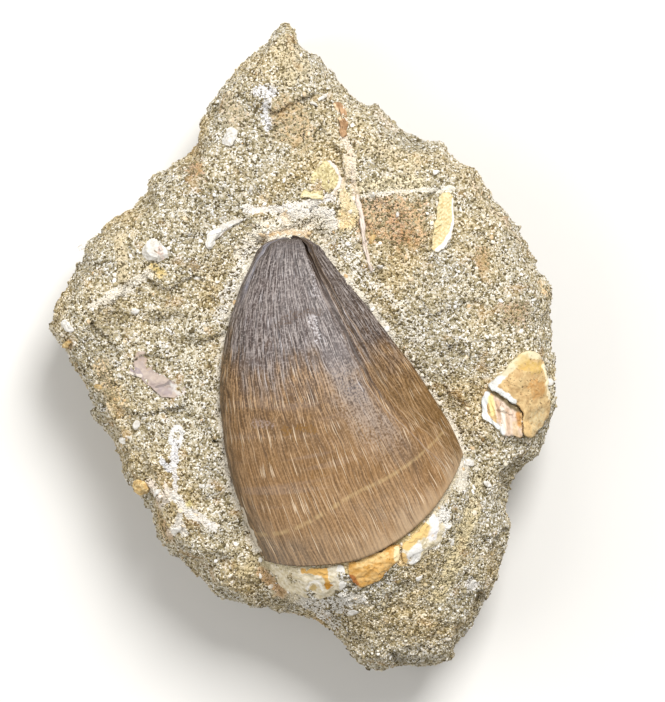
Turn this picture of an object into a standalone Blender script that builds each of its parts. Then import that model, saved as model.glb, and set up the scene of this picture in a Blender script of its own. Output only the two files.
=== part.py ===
"""Fossil mosasaur tooth in its block of phosphate sand, lying on the block's flat back.

The prepared face looks up (+Z) and the tooth's tip points along +Y. Lengths below are in
millimetres; the meshes are made in metres. The origin is the middle of the block's back.
"""

import math
from functools import lru_cache, partial

import bmesh
import bpy
from mathutils import Vector, noise

MM = 0.001

# Block of sand: its outline seen from above, clockwise from the peak at the top.
BLOCK_OUTLINE = (
    (-3.3, 54.6), (-1.7, 54.0), (-1.0, 51.3), (2.5, 48.5), (5.2, 45.3), (8.2, 42.3),
    (10.8, 40.7), (12.5, 40.7), (15.5, 38.0), (19.5, 35.2), (23.5, 34.5), (25.5, 31.8),
    (28.5, 30.2), (31.2, 26.0), (34.8, 22.3), (37.8, 17.7), (40.0, 12.8), (41.7, 8.5),
    (41.3, 5.0), (41.8, -0.3), (42.2, -5.0), (42.0, -9.5), (41.2, -13.3), (39.7, -17.3),
    (36.2, -20.0), (34.2, -24.2), (33.8, -27.0), (34.8, -30.5), (33.0, -35.3), (31.5, -40.7),
    (28.7, -46.2), (25.7, -50.0), (24.2, -52.2), (20.3, -53.6), (15.7, -53.1), (13.5, -54.2),
    (10.0, -53.4), (7.0, -50.0), (2.5, -46.2), (-1.3, -45.0), (-5.5, -43.8), (-11.3, -42.5),
    (-15.5, -41.0), (-17.5, -37.8), (-20.5, -35.5), (-24.7, -31.0), (-26.8, -26.2), (-30.2, -21.7),
    (-31.5, -17.0), (-34.8, -10.7), (-37.2, -5.3), (-40.8, 0.5), (-42.2, 4.0), (-41.5, 7.0),
    (-39.5, 11.3), (-37.3, 14.3), (-36.3, 18.0), (-31.3, 21.8), (-26.3, 26.2), (-25.5, 28.5),
    (-21.3, 31.3), (-18.0, 33.8), (-16.7, 38.8), (-13.8, 43.3), (-10.5, 47.7), (-6.8, 51.0),
    (-5.2, 53.5),
)
FACE_HEIGHT = 27.0
WIDEST_HEIGHT = 14.0
# Side of the block from the back up: how far in from the outline, and how high, each ring lies.
SIDE_RINGS = ((5.0, 0.0), (2.4, 2.6), (0.9, 7.0), (0.0, WIDEST_HEIGHT), (0.5, 18.5), (1.7, 22.0))
SHOULDER_WIDTH = 9.0
SHOULDER_DROP = 5.0
# Relief: height, width and seed of the lumps and of the flat facets where flakes broke away.
FACE_LUMPS = ((1.7, 24.0, 3.1), (0.9, 9.0, 7.7), (0.4, 4.0, 5.2))
FACE_CHIPS = (0.9, 8.0, 2.3)
SIDE_LUMPS = (1.0, 7.0, 1.3)
SIDE_CHIPS = (2.6, 13.0, 4.4)
RING_SWAY = (1.5, 10.0, 6.1)
# A low step in the face left of the crown: how deep, where it starts and how it fades out.
LEDGE_DROP = 1.2
LEDGE_TOP = 7.0
LEDGE_RIGHT = -16.0
LEDGE_BOTTOM = -16.0
# Groove that the preparer cut along both sides of the crown.
MOAT_DEPTH = 1.3
MOAT_WIDTH = 3.2
# The face's rings run from the shoulder in to the hub, which lies under the crown.
FACE_START = 3.0
FACE_RINGS = 12
HUB = Vector((4.5, -12.0))
POINTS_ROUND = 108

# Crown: its two edges seen from above, as Bezier curves from the tip to the base.
LEFT_EDGE = tuple(Vector(p) for p in ((-7.0, 16.5), (-14.0, 5.0), (-18.0, -12.0), (-6.5, -35.0)))
RIGHT_EDGE = tuple(Vector(p) for p in ((3.0, 16.5), (10.0, 7.0), (22.0, -6.0), (26.5, -17.5)))
CROWN_LEVEL = 26.0
CROWN_HEIGHT = 12.2
CROWN_DEPTH = 10.5
TIP_SHARE = 0.43
TIP_BULGE = 1.4
BASE_BULGE = 7.0
BASE_POWER = 2.0
BASE_HOLLOW = 2.5
DOME_POWER = 2.6
KEEL_PLACE = 0.77
KEEL_PLACE_AT_BASE = 0.93
FLANK_FOOT = 0.12
CROWN_RINGS = 16
CROWN_ROUND = 36
GAP = 0.38

# Step from the crown's margin down to the bone and sand below it, and how far that mound runs.
MARGIN_STEP = 1.3
MOUND_REACH = 9.0
MOUND_REACH_UNDER_CROWN = 3.0

SAND = ("phosphate_sand", (0.62, 0.55, 0.42), 0.95)
ENAMEL = ("brown_enamel", (0.30, 0.20, 0.13), 0.35)
OCHRE_BONE = ("ochre_bone", (0.72, 0.47, 0.20), 0.8)
PALE_BONE = ("pale_bone", (0.76, 0.70, 0.55), 0.85)
ORANGE_SHELL = ("orange_shell", (0.74, 0.52, 0.28), 0.7)
YELLOW_SHELL = ("yellow_shell", (0.82, 0.68, 0.38), 0.55)
WHITE_SHELL = ("white_shell", (0.86, 0.83, 0.76), 0.6)
PINK_SHELL = ("pink_shell", (0.56, 0.44, 0.40), 0.6)
RUST_SHELL = ("rust_shell", (0.55, 0.33, 0.18), 0.8)

# Broad pieces of shell and bone in the face: outline from above, finish, how far the middle and
# the rim stand out of the sand, and how deep the piece is bedded.
BROAD_PIECES = {
    "root_bone_ochre": (
        ((7.6, -35.3), (9.7, -34.5), (12.3, -33.5), (14.6, -32.4), (15.6, -32.3), (15.8, -33.8),
         (14.7, -35.5), (12.3, -37.9), (10.0, -38.9), (8.1, -37.6)),
        OCHRE_BONE, 0.9, 0.5, 3.0),
    "root_bone_pale": (
        ((-5.2, -35.8), (-2.8, -35.9), (0.4, -35.9), (3.7, -35.8), (6.4, -35.5), (7.2, -37.0),
         (7.1, -38.8), (5.3, -40.2), (2.5, -41.1), (-0.4, -40.8), (-3.0, -39.8), (-5.0, -37.9)),
        PALE_BONE, 0.6, 0.3, 3.0),
    "root_bone_right": (
        ((16.5, -32.2), (17.5, -31.2), (19.3, -29.6), (20.3, -28.2), (21.3, -26.8), (22.4, -27.5),
         (23.0, -29.6), (22.4, -31.7), (20.8, -32.6), (19.3, -34.2), (17.8, -35.3), (16.6, -34.4)),
        PALE_BONE, 0.7, 0.3, 3.0),
    "shell_plate_upper": (
        ((30.6, -6.3), (32.9, -3.8), (35.5, -1.4), (37.8, -0.5), (39.4, -1.4), (40.2, -4.8),
         (40.8, -8.3), (40.2, -11.9), (38.1, -14.7), (36.6, -14.5), (36.0, -10.1), (33.2, -8.2)),
        ORANGE_SHELL, 1.7, 1.2, 1.0),
    "shell_plate_lower": (
        ((30.1, -7.2), (32.0, -8.5), (34.0, -9.9), (35.3, -10.9), (35.5, -12.6), (35.7, -14.6),
         (33.2, -14.5), (31.1, -12.4), (29.7, -11.1), (29.5, -9.0)),
        ORANGE_SHELL, 0.5, 0.3, 1.6),
    "yellow_shell": (
        ((23.2, 25.3), (24.6, 25.2), (25.1, 22.2), (24.9, 19.3), (23.9, 17.2), (22.5, 16.1),
         (21.1, 16.6), (21.8, 19.6), (22.5, 23.0)),
        YELLOW_SHELL, 0.5, 0.6, 2.0),
    "white_shell_cup": (
        ((-26.3, 16.8), (-25.4, 17.8), (-24.0, 17.9), (-22.9, 16.9), (-22.1, 15.4), (-23.3, 14.4),
         (-25.2, 14.4), (-26.4, 15.2)),
        WHITE_SHELL, 1.0, 0.3, 1.6),
    "bone_chip": (
        ((-0.4, 24.9), (0.2, 26.0), (1.2, 27.0), (1.5, 28.5), (2.5, 29.7), (3.5, 30.8), (4.5, 31.0),
         (5.5, 30.0), (6.3, 28.5), (6.6, 27.7), (6.1, 26.5), (5.3, 25.7), (4.5, 24.7), (3.2, 24.5),
         (1.5, 24.7)),
        PALE_BONE, 0.8, 0.4, 1.8),
    "tan_pebble": (
        ((-28.2, -22.6), (-27.4, -21.9), (-26.2, -22.2), (-25.6, -23.3), (-26.4, -24.3), (-27.8, -24.1)),
        OCHRE_BONE, 1.0, 0.3, 1.6),
    "white_chip_top": (
        ((-13.2, 34.5), (-12.2, 36.3), (-11.2, 36.3), (-10.9, 35.1), (-11.9, 33.3), (-12.9, 33.6)),
        WHITE_SHELL, 0.7, 0.3, 1.5),
    "pink_shell": (
        ((-30.2, -3.3), (-28.9, -3.0), (-28.4, -2.3), (-27.9, -1.5), (-27.2, -0.7), (-26.3, -0.5),
         (-25.3, -0.8), (-25.1, -2.0), (-25.1, -3.3), (-24.3, -4.1), (-23.3, -4.5), (-22.1, -5.1),
         (-20.8, -5.8), (-19.5, -6.5), (-19.6, -7.6), (-20.8, -8.1), (-22.1, -8.1), (-23.3, -7.9),
         (-24.4, -7.1), (-25.3, -6.3), (-26.1, -5.8), (-26.9, -5.0), (-27.9, -4.6), (-29.1, -4.1)),
        PINK_SHELL, 0.5, 0.3, 1.8),
}
# Narrow pieces: the line along their middle, their width, and then the same as above.
NARROW_PIECES = {
    "curved_white_shell": (((-15.8, 16.6), (-15.0, 18.6), (-12.4, 20.3), (-9.3, 21.4)), 1.7, WHITE_SHELL,
                           0.7, 0.4, 1.6),
    "rust_sliver": (((5.6, 40.8), (6.5, 38.8), (6.9, 34.8)), 1.8, RUST_SHELL, 0.6, 0.3, 1.6),
    "long_shell_sliver": (((8.9, 25.8), (9.9, 21.6), (10.4, 17.4), (10.9, 12.8)), 1.1, WHITE_SHELL,
                          0.6, 0.3, 1.6),
    "white_chip_left": (((-40.1, 4.4), (-39.2, 3.8), (-38.0, 2.6)), 1.3, WHITE_SHELL, 0.7, 0.3, 1.5),
}
PIECE_POINTS = 14
CUTTER_RISE = 4.0


def clear_scene():
    for old in list(bpy.data.objects):
        bpy.data.objects.remove(old, do_unlink=True)


def smooth(t):
    """Rises from 0 to 1 as t goes from 0 to 1, with flat ends."""
    t = min(1.0, max(0.0, t))
    return t * t * (3 - 2 * t)


def closed_curve(points, count):
    """Evenly spaced points on a smooth closed curve through the given ones."""
    fine = []
    n = len(points)
    steps = 8
    for i in range(n):
        a, b, c, d = (Vector(points[(i + k) % n]) for k in (-1, 0, 1, 2))
        for k in range(steps):
            t = k / steps
            fine.append(0.5 * (2 * b + (c - a) * t + (2 * a - 5 * b + 4 * c - d) * t**2
                               + (3 * b - a - 3 * c + d) * t**3))
    ends = fine[1:] + fine[:1]
    lengths = [(q - p).length for p, q in zip(fine, ends)]
    spacing = sum(lengths) / count
    found = []
    gone = 0.0
    for p, q, length in zip(fine, ends, lengths):
        while len(found) * spacing < gone + length and len(found) < count:
            found.append(p.lerp(q, (len(found) * spacing - gone) / length))
        gone += length
    return found


def mesh_object(name, points, faces, finish):
    """A smooth-shaded object with outward faces, from points in millimetres."""
    slot, colour, roughness = finish
    mesh = bpy.data.meshes.new(name)
    mesh.from_pydata([Vector(p) * MM for p in points], [], faces)
    shape = bmesh.new()
    shape.from_mesh(mesh)
    bmesh.ops.recalc_face_normals(shape, faces=shape.faces)
    bmesh.ops.triangulate(shape, faces=shape.faces)
    shape.to_mesh(mesh)
    shape.free()
    mesh.shade_smooth()
    mesh.set_sharp_from_angle(angle=math.radians(50))
    material = bpy.data.materials.get(slot)
    if material is None:
        material = bpy.data.materials.new(slot)
        material.use_nodes = True
        shader = material.node_tree.nodes["Principled BSDF"]
        shader.inputs["Base Color"].default_value = (*colour, 1)
        shader.inputs["Roughness"].default_value = roughness
        shader.inputs["Metallic"].default_value = 0.0
    mesh.materials.append(material)
    made = bpy.data.objects.new(name, mesh)
    bpy.context.scene.collection.objects.link(made)
    return made


def lofted_faces(rings, around):
    """Quads between neighbouring rings of points, with the first and last ring closed by one face."""
    faces = [[k for k in range(around)]]
    for r in range(rings - 1):
        for k in range(around):
            low, high = r * around, (r + 1) * around
            following = (k + 1) % around
            faces.append([low + k, high + k, high + following, low + following])
    faces.append([(rings - 1) * around + k for k in range(around)])
    return faces


def bezier(points, t):
    a, b, c, d = points
    s = 1 - t
    return a * s**3 + b * 3 * s * s * t + c * 3 * s * t * t + d * t**3


def crown_height(along):
    """Height of the crown's crest over its widest level, from tip (0) to base (1)."""
    return CROWN_HEIGHT * (TIP_SHARE + (1 - TIP_SHARE) * (1 - (1 - along) ** 2.2))


def crown_face(along, across):
    """Share of the crest's height: a broad dome, cut on the right by the flat flank past the keel."""
    dome = max(0.0, 1 - abs(2 * across - 1) ** DOME_POWER) ** 0.5
    keel = KEEL_PLACE + (KEEL_PLACE_AT_BASE - KEEL_PLACE) * smooth((along - 0.55) / 0.45)
    keel_height = (1 - abs(2 * keel - 1) ** DOME_POWER) ** 0.5
    flank = FLANK_FOOT + (keel_height - FLANK_FOOT) * (1 - across) / (1 - keel)
    return min(dome, flank)


def base_way():
    """Unit vector in plan that points out of the crown's base, square to its chord."""
    chord = RIGHT_EDGE[3] - LEFT_EDGE[3]
    return Vector((chord.y, -chord.x)).normalized()


def crown_plan(along, across):
    """Where a point of the crown lies seen from above. Its rings bow out towards the base."""
    left, right = bezier(LEFT_EDGE, along), bezier(RIGHT_EDGE, along)
    bow = BASE_BULGE * along**2.5 * (1 - abs(2 * across - 1) ** BASE_POWER)
    return left.lerp(right, across) + base_way() * bow


def crown_ring(along):
    """One closed ring of the crown: over the visible face, and back under it."""
    ring = []
    for k in range(CROWN_ROUND):
        turn = 2 * math.pi * k / CROWN_ROUND
        across = (1 - math.cos(turn)) / 2
        place = crown_plan(along, across)
        if turn <= math.pi:
            height = crown_height(along) * crown_face(along, across)
        else:
            height = crown_height(along) * CROWN_DEPTH / CROWN_HEIGHT * math.sin(turn)
        ring.append(Vector((place.x, place.y, CROWN_LEVEL + height)))
    return ring


def shrunk(ring, share, way, distance):
    """The ring drawn in towards its middle and moved along a way in plan."""
    middle = sum(ring, Vector((0, 0, 0))) / len(ring)
    shift = Vector((way.x, way.y, 0)) * distance
    return [middle + (p - middle) * share + shift for p in ring]


def crown_mesh(name, swell=0.0):
    """The whole crown, with its worn round tip and its shallow hollow base, swollen if it is a cutter."""
    rings = []
    tip = crown_ring(0.0)
    for degrees in (72, 48, 24):
        turn = math.radians(degrees)
        rings.append(shrunk(tip, math.cos(turn), Vector((0.0, 1.0)), TIP_BULGE * math.sin(turn)))
    for r in range(CROWN_RINGS + 1):
        rings.append(crown_ring(r / CROWN_RINGS))
    base = rings[-1]
    rings.append(shrunk(base, 0.93, base_way(), 0.0))
    rings.append(shrunk(base, 0.70, base_way(), -BASE_HOLLOW * 0.5))
    rings.append(shrunk(base, 0.35, base_way(), -BASE_HOLLOW))
    points = [p for ring in rings for p in ring]
    made = mesh_object(name, points, lofted_faces(len(rings), CROWN_ROUND), ENAMEL)
    if swell:
        mesh = made.data
        grown = [v.co + v.normal * swell * MM for v in mesh.vertices]
        for vertex, place in zip(mesh.vertices, grown):
            vertex.co = place
    return made


def lumps(place, height, width, seed):
    """Smooth noise, whose lumps and hollows have this height and width."""
    at = Vector((place[0] / width + seed, place[1] / width - seed, place[2] / width))
    return height * noise.noise(at)


def chips(place, height, width, seed):
    """Flat tilted facets of this height and width, as where flakes broke away."""
    at = Vector((place[0] / width + seed, place[1] / width, place[2] / width))
    middle = noise.voronoi(at)[1][0]
    tilt = noise.cell_vector(middle * 37.0) - Vector((0.5, 0.5, 0.5))
    return 2.0 * height * tilt.dot(at - middle)


def face_level(x, y):
    """Height of the prepared face in its middle, before the shoulder and the crown's socket."""
    place = (x, y, 0.0)
    level = FACE_HEIGHT + chips(place, *FACE_CHIPS) + sum(lumps(place, *each) for each in FACE_LUMPS)
    below_top, above_bottom = smooth((LEDGE_TOP - y) / 3.0), smooth((y - LEDGE_BOTTOM) / 12.0)
    level -= LEDGE_DROP * below_top * above_bottom * smooth((LEDGE_RIGHT - x) / 6.0)
    return level + mound_rise(x, y, level)


def mound_rise(x, y, level):
    """How much bone and sand stand over the face's level where they hide the crown's root."""
    start = LEFT_EDGE[3]
    chord = RIGHT_EDGE[3] - start
    across = (Vector((x, y)) - start).dot(chord) / chord.length_squared
    if not 0 < across < 1:
        return 0.0
    crown = CROWN_LEVEL + crown_height(1.0) * crown_face(1.0, across)
    out = (Vector((x, y)) - crown_plan(1.0, across)).dot(base_way())
    reach = MOUND_REACH if out > 0 else MOUND_REACH_UNDER_CROWN
    return max(0.0, crown - MARGIN_STEP - level) * math.exp(-((out / reach) ** 2))


def moat(x, y):
    """Depth of the groove along the crown, which ends short of its base."""
    spots = [bezier(edge, k / 13) for edge in (LEFT_EDGE, RIGHT_EDGE) for k in range(13)]
    nearest = min((Vector((x, y)) - spot).length for spot in spots)
    return MOAT_DEPTH * math.exp(-((nearest / MOAT_WIDTH) ** 2))


@lru_cache
def block_outline():
    return closed_curve(BLOCK_OUTLINE, POINTS_ROUND)


def surface(place):
    """Height of the face at a place in plan, with the rounded shoulder along the outline."""
    inset = min((place - edge).length for edge in block_outline())
    fall = SHOULDER_DROP * max(0.0, 1 - inset / SHOULDER_WIDTH) ** 2
    return face_level(place.x, place.y) - moat(place.x, place.y) - fall


def block_points():
    """Rings of points over the whole block: the back's rim, the sides, the shoulder and the face."""
    rings = []
    for inset, height in SIDE_RINGS:
        ring = []
        for edge in block_outline():
            inward = (HUB - edge).normalized()
            place = edge + inward * inset
            at = Vector((place.x, place.y, height))
            push = 0.0
            sway = 0.0
            if height != WIDEST_HEIGHT:
                push = lumps(at, *SIDE_LUMPS) + abs(chips(at, *SIDE_CHIPS))
            if height > 0:
                sway = lumps(at, *RING_SWAY)
            ring.append(Vector((place.x + inward.x * push, place.y + inward.y * push, height + sway)))
        rings.append(ring)
    for r in range(FACE_RINGS):
        ring = []
        for edge in block_outline():
            way = HUB - edge
            inset = FACE_START + (way.length - FACE_START) * (r / FACE_RINGS) ** 1.1
            place = edge + way.normalized() * inset
            ring.append(Vector((place.x, place.y, surface(place))))
        rings.append(ring)
    return rings


def block_mesh():
    rings = block_points()
    points = [p for ring in rings for p in ring]
    return mesh_object("sand_matrix", points, lofted_faces(len(rings), POINTS_ROUND), SAND)


def grown_outline(outline, by):
    """The closed outline moved out by a distance, square to itself."""
    turned = sum(a.x * b.y - b.x * a.y for a, b in zip(outline, outline[1:] + outline[:1]))
    side = 1 if turned > 0 else -1
    found = []
    for k, place in enumerate(outline):
        along = outline[(k + 1) % len(outline)] - outline[k - 1]
        found.append(place + Vector((along.y, -along.x)).normalized() * by * side)
    return found


def broad_ring(outline, share):
    """The outline of a broad piece, drawn in to a share of its size."""
    rim = closed_curve(outline, PIECE_POINTS)
    centre = sum(rim, Vector((0, 0))) / len(rim)
    return [centre.lerp(p, share) for p in rim]


def narrow_ring(line, width, share):
    """The outline of a narrow piece with rounded ends, drawn in to a share of its width."""
    ring = []
    for k in range(PIECE_POINTS):
        turn = 2 * math.pi * (k + 0.5) / PIECE_POINTS
        t = (0.5 - 0.5 * math.cos(turn) * (0.8 + 0.2 * share)) * (len(line) - 1)
        n = min(int(t), len(line) - 2)
        way = (Vector(line[n + 1]) - Vector(line[n])).normalized()
        middle = Vector(line[n]).lerp(Vector(line[n + 1]), t - n)
        half = math.copysign(abs(math.sin(turn)) ** 0.6, math.sin(turn)) * width / 2 * share
        ring.append(middle + Vector((-way.y, way.x)) * half)
    return ring


def piece_and_cutter(name, ring_at, finish, middle_rise, rim_rise, depth):
    """A bedded piece with a low domed top, and the cutter that makes its pocket in the sand."""
    rim, bevel, crest = ring_at(1.0), ring_at(0.88), ring_at(0.5)
    floor = min(surface(p) for p in rim) - depth

    def level(ring, height):
        return [Vector((p.x, p.y, height)) for p in ring]

    def lifted(ring, rise):
        return [Vector((p.x, p.y, surface(p) + rise)) for p in ring]

    rings = [level(bevel, floor), level(rim, floor + 0.3), lifted(rim, rim_rise * 0.5),
             lifted(bevel, rim_rise), lifted(crest, middle_rise)]
    points = [p for ring in rings for p in ring]
    piece = mesh_object(name, points, lofted_faces(len(rings), PIECE_POINTS), finish)
    wide = grown_outline(rim, GAP)
    pocket = level(wide, floor - GAP) + lifted(wide, CUTTER_RISE)
    cutter = mesh_object(name + "_cutter", pocket, lofted_faces(2, PIECE_POINTS), finish)
    return piece, cutter


def cut(body, cutter):
    cutter.hide_render = True
    cutter.display_type = "WIRE"
    modifier = body.modifiers.new("pocket for " + cutter.name, "BOOLEAN")
    modifier.operation = "DIFFERENCE"
    modifier.solver = "EXACT"
    modifier.object = cutter


def centre_on_back(body):
    """Moves every mesh so that the origin is the middle of the block's back."""
    xs = [v.co.x for v in body.data.vertices]
    ys = [v.co.y for v in body.data.vertices]
    shift = Vector((-(min(xs) + max(xs)) / 2, -(min(ys) + max(ys)) / 2, 0))
    for each in bpy.data.objects:
        for vertex in each.data.vertices:
            vertex.co += shift


def main():
    clear_scene()
    block = block_mesh()
    crown_mesh("tooth_crown")
    cut(block, crown_mesh("tooth_crown_cutter", GAP))
    for name, (outline, *rest) in BROAD_PIECES.items():
        cut(block, piece_and_cutter(name, partial(broad_ring, outline), *rest)[1])
    for name, (line, width, *rest) in NARROW_PIECES.items():
        cut(block, piece_and_cutter(name, partial(narrow_ring, line, width), *rest)[1])
    centre_on_back(block)


main()
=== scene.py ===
"""Fossil mosasaur tooth in its block of phosphate sand, lying on its back and seen from above.

Plan positions are millimetres from the middle of the block, with the tooth's tip towards +Y.
"""

import math
import random
from functools import partial

import bmesh
import bpy
import numpy as np
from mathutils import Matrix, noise


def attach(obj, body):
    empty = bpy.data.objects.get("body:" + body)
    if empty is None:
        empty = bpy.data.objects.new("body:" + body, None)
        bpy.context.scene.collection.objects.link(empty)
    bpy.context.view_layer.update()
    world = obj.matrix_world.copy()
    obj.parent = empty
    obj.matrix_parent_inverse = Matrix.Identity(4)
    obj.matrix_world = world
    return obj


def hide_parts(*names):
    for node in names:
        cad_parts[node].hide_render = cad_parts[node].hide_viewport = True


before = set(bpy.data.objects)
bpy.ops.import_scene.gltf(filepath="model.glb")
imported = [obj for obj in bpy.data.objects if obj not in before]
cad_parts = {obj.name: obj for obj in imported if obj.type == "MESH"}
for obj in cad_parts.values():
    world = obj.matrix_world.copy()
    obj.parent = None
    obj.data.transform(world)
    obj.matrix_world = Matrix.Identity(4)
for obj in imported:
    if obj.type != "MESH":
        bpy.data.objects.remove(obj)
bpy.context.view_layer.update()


# The block is coarse phosphate sand, cemented by nature and broken out by hand. Its back is trimmed
# flat, its sides are rough breaks, and its face was cut down round the tooth with small tools.
MM = 0.001
BLOCK_OUTLINE = (
    (-3.3, 54.6), (-1.7, 54.0), (-1.0, 51.3), (2.5, 48.5), (5.2, 45.3), (8.2, 42.3),
    (10.8, 40.7), (12.5, 40.7), (15.5, 38.0), (19.5, 35.2), (23.5, 34.5), (25.5, 31.8),
    (28.5, 30.2), (31.2, 26.0), (34.8, 22.3), (37.8, 17.7), (40.0, 12.8), (41.7, 8.5),
    (41.3, 5.0), (41.8, -0.3), (42.2, -5.0), (42.0, -9.5), (41.2, -13.3), (39.7, -17.3),
    (36.2, -20.0), (34.2, -24.2), (33.8, -27.0), (34.8, -30.5), (33.0, -35.3), (31.5, -40.7),
    (28.7, -46.2), (25.7, -50.0), (24.2, -52.2), (20.3, -53.6), (15.7, -53.1), (13.5, -54.2),
    (10.0, -53.4), (7.0, -50.0), (2.5, -46.2), (-1.3, -45.0), (-5.5, -43.8), (-11.3, -42.5),
    (-15.5, -41.0), (-17.5, -37.8), (-20.5, -35.5), (-24.7, -31.0), (-26.8, -26.2), (-30.2, -21.7),
    (-31.5, -17.0), (-34.8, -10.7), (-37.2, -5.3), (-40.8, 0.5), (-42.2, 4.0), (-41.5, 7.0),
    (-39.5, 11.3), (-37.3, 14.3), (-36.3, 18.0), (-31.3, 21.8), (-26.3, 26.2), (-25.5, 28.5),
    (-21.3, 31.3), (-18.0, 33.8), (-16.7, 38.8), (-13.8, 43.3), (-10.5, 47.7), (-6.8, 51.0),
    (-5.2, 53.5),
)
FACE_HEIGHT = 27.0
WIDEST_HEIGHT = 14.0
# Side of the block from the back up: how far in from the outline, and how high, each ring lies.
SIDE_RINGS = ((5.0, 0.0), (2.4, 2.6), (0.9, 7.0), (0.0, WIDEST_HEIGHT), (0.5, 18.5), (1.7, 22.0))
SIDE_STEPS = 4
FACE_START = 3.0
FACE_RINGS = 90
POINTS_ROUND = 720
HUB = np.array([4.5, -12.0])
SHOULDER_WIDTH = 9.0
SHOULDER_DROP = 5.0
# Relief: height, width and seed of the lumps and of the flat facets where flakes broke away.
FACE_LUMPS = ((1.7, 24.0, 3.1), (0.9, 9.0, 7.7), (0.4, 4.0, 5.2))
FACE_CHIPS = (0.9, 8.0, 2.3)
SIDE_LUMPS = (1.0, 7.0, 1.3)
SIDE_CHIPS = (2.6, 13.0, 4.4)
RING_SWAY = (1.5, 10.0, 6.1)
FINE_LUMPS = ((0.5, 3.2, 9.4), (0.35, 1.5, 2.8), (0.25, 0.9, 6.6))
FINE_CHIPS = (0.7, 4.5, 1.7)
# A low step in the face left of the crown: how deep, where it starts and how it fades out.
LEDGE_DROP = 1.2
LEDGE_TOP = 7.0
LEDGE_RIGHT = -16.0
LEDGE_BOTTOM = -16.0
# Groove that the preparer cut along both sides of the crown.
MOAT_DEPTH = 1.3
MOAT_WIDTH = 3.2
# Crown: its two edges seen from above, as Bezier curves from the tip to the base.
LEFT_EDGE = ((-7.0, 16.5), (-14.0, 5.0), (-18.0, -12.0), (-6.5, -35.0))
RIGHT_EDGE = ((3.0, 16.5), (10.0, 7.0), (22.0, -6.0), (26.5, -17.5))
CROWN_LEVEL = 26.0
CROWN_HEIGHT = 12.2
CROWN_DEPTH = 10.5
TIP_SHARE = 0.43
TIP_BULGE = 1.4
BASE_BULGE = 7.0
BASE_POWER = 2.0
BASE_HOLLOW = 2.5
DOME_POWER = 2.6
KEEL_PLACE = 0.77
KEEL_PLACE_AT_BASE = 0.93
FLANK_FOOT = 0.12
# Step from the crown's margin down to the bone and sand below it, and how far that mound runs.
MARGIN_STEP = 1.3
MOUND_REACH = 9.0
MOUND_REACH_UNDER_CROWN = 3.0
# Steps that a curve takes between two of its points, and places measured at one time.
CURVE_STEPS = 8
BATCH = 4000


def smooth(t):
    """Rises from 0 to 1 as t goes from 0 to 1, with flat ends."""
    t = np.clip(t, 0.0, 1.0)
    return t * t * (3 - 2 * t)


def closed_curve(points, count):
    """Evenly spaced points on a smooth closed curve through the given ones."""
    b = np.array(points)[:, None]
    a, c, d = np.roll(b, 1, 0), np.roll(b, -1, 0), np.roll(b, -2, 0)
    t = np.arange(CURVE_STEPS)[None, :, None] / CURVE_STEPS
    loop = spline(a, b, c, d, t).reshape(-1, 2)
    loop = np.vstack([loop, loop[:1]])
    gone = np.concatenate([[0.0], np.cumsum(np.linalg.norm(np.diff(loop, axis=0), axis=1))])
    at = np.arange(count) / count * gone[-1]
    return np.column_stack([np.interp(at, gone, loop[:, k]) for k in (0, 1)])


def spline(a, b, c, d, t):
    """The smooth curve between b and c that heads from a to d."""
    square = (2 * a - 5 * b + 4 * c - d) * t**2
    cube = (3 * b - a - 3 * c + d) * t**3
    return 0.5 * (2 * b + (c - a) * t + square + cube)


def lumps(places, height, width, seed):
    """Smooth noise, whose lumps and hollows have this height and width."""
    at = places / width + [seed, -seed, 0.0]
    return height * np.array([noise.noise(p) for p in at.tolist()])


def chips(places, height, width, seed):
    """Flat tilted facets of this height and width, as where flakes broke away."""
    at = places / width + [seed, 0.0, 0.0]
    middles = np.array([noise.voronoi(p)[1][0] for p in at.tolist()])
    tilts = np.array([noise.cell_vector(p) for p in (middles * 37.0).tolist()]) - 0.5
    return 2.0 * height * (tilts * (at - middles)).sum(axis=1)


def nearest(places, spots):
    """Distance from each place to the nearest spot, both in plan."""
    found = [np.linalg.norm(part[:, None] - spots[None], axis=2).min(axis=1)
             for part in np.array_split(places, max(1, len(places) // BATCH))]
    return np.concatenate(found)


def bezier(points, t):
    a, b, c, d = np.array(points)
    t = np.asarray(t, dtype=float)[..., None]
    s = 1 - t
    return a * s**3 + b * 3 * s * s * t + c * 3 * s * t * t + d * t**3


def crown_height(along):
    """Height of the crown's crest over its widest level, from tip (0) to base (1)."""
    return CROWN_HEIGHT * (TIP_SHARE + (1 - TIP_SHARE) * (1 - (1 - along) ** 2.2))


def keel_place(along):
    return KEEL_PLACE + (KEEL_PLACE_AT_BASE - KEEL_PLACE) * smooth((along - 0.55) / 0.45)


def crown_face(along, across):
    """Share of the crest's height: a broad dome, cut on the right by the flat flank past the keel."""
    dome = np.maximum(0.0, 1 - np.abs(2 * across - 1) ** DOME_POWER) ** 0.5
    keel = keel_place(along)
    keel_height = (1 - np.abs(2 * keel - 1) ** DOME_POWER) ** 0.5
    flank = FLANK_FOOT + (keel_height - FLANK_FOOT) * (1 - across) / (1 - keel)
    return np.minimum(dome, flank)


chord = np.array(RIGHT_EDGE[3]) - LEFT_EDGE[3]
base_way = np.array([chord[1], -chord[0]]) / np.linalg.norm(chord)


def crown_plan(along, across):
    """Where a point of the crown lies seen from above. Its rings bow out towards the base."""
    left, right = bezier(LEFT_EDGE, along), bezier(RIGHT_EDGE, along)
    bow = BASE_BULGE * along**2.5 * (1 - np.abs(2 * across - 1) ** BASE_POWER)
    return left + (right - left) * across[..., None] + base_way * bow[..., None]


outline = closed_curve(BLOCK_OUTLINE, POINTS_ROUND)
plan_middle = (outline.min(axis=0) + outline.max(axis=0)) / 2
moat_spots = np.vstack([bezier(edge, np.arange(13) / 13) for edge in (LEFT_EDGE, RIGHT_EDGE)])


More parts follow.
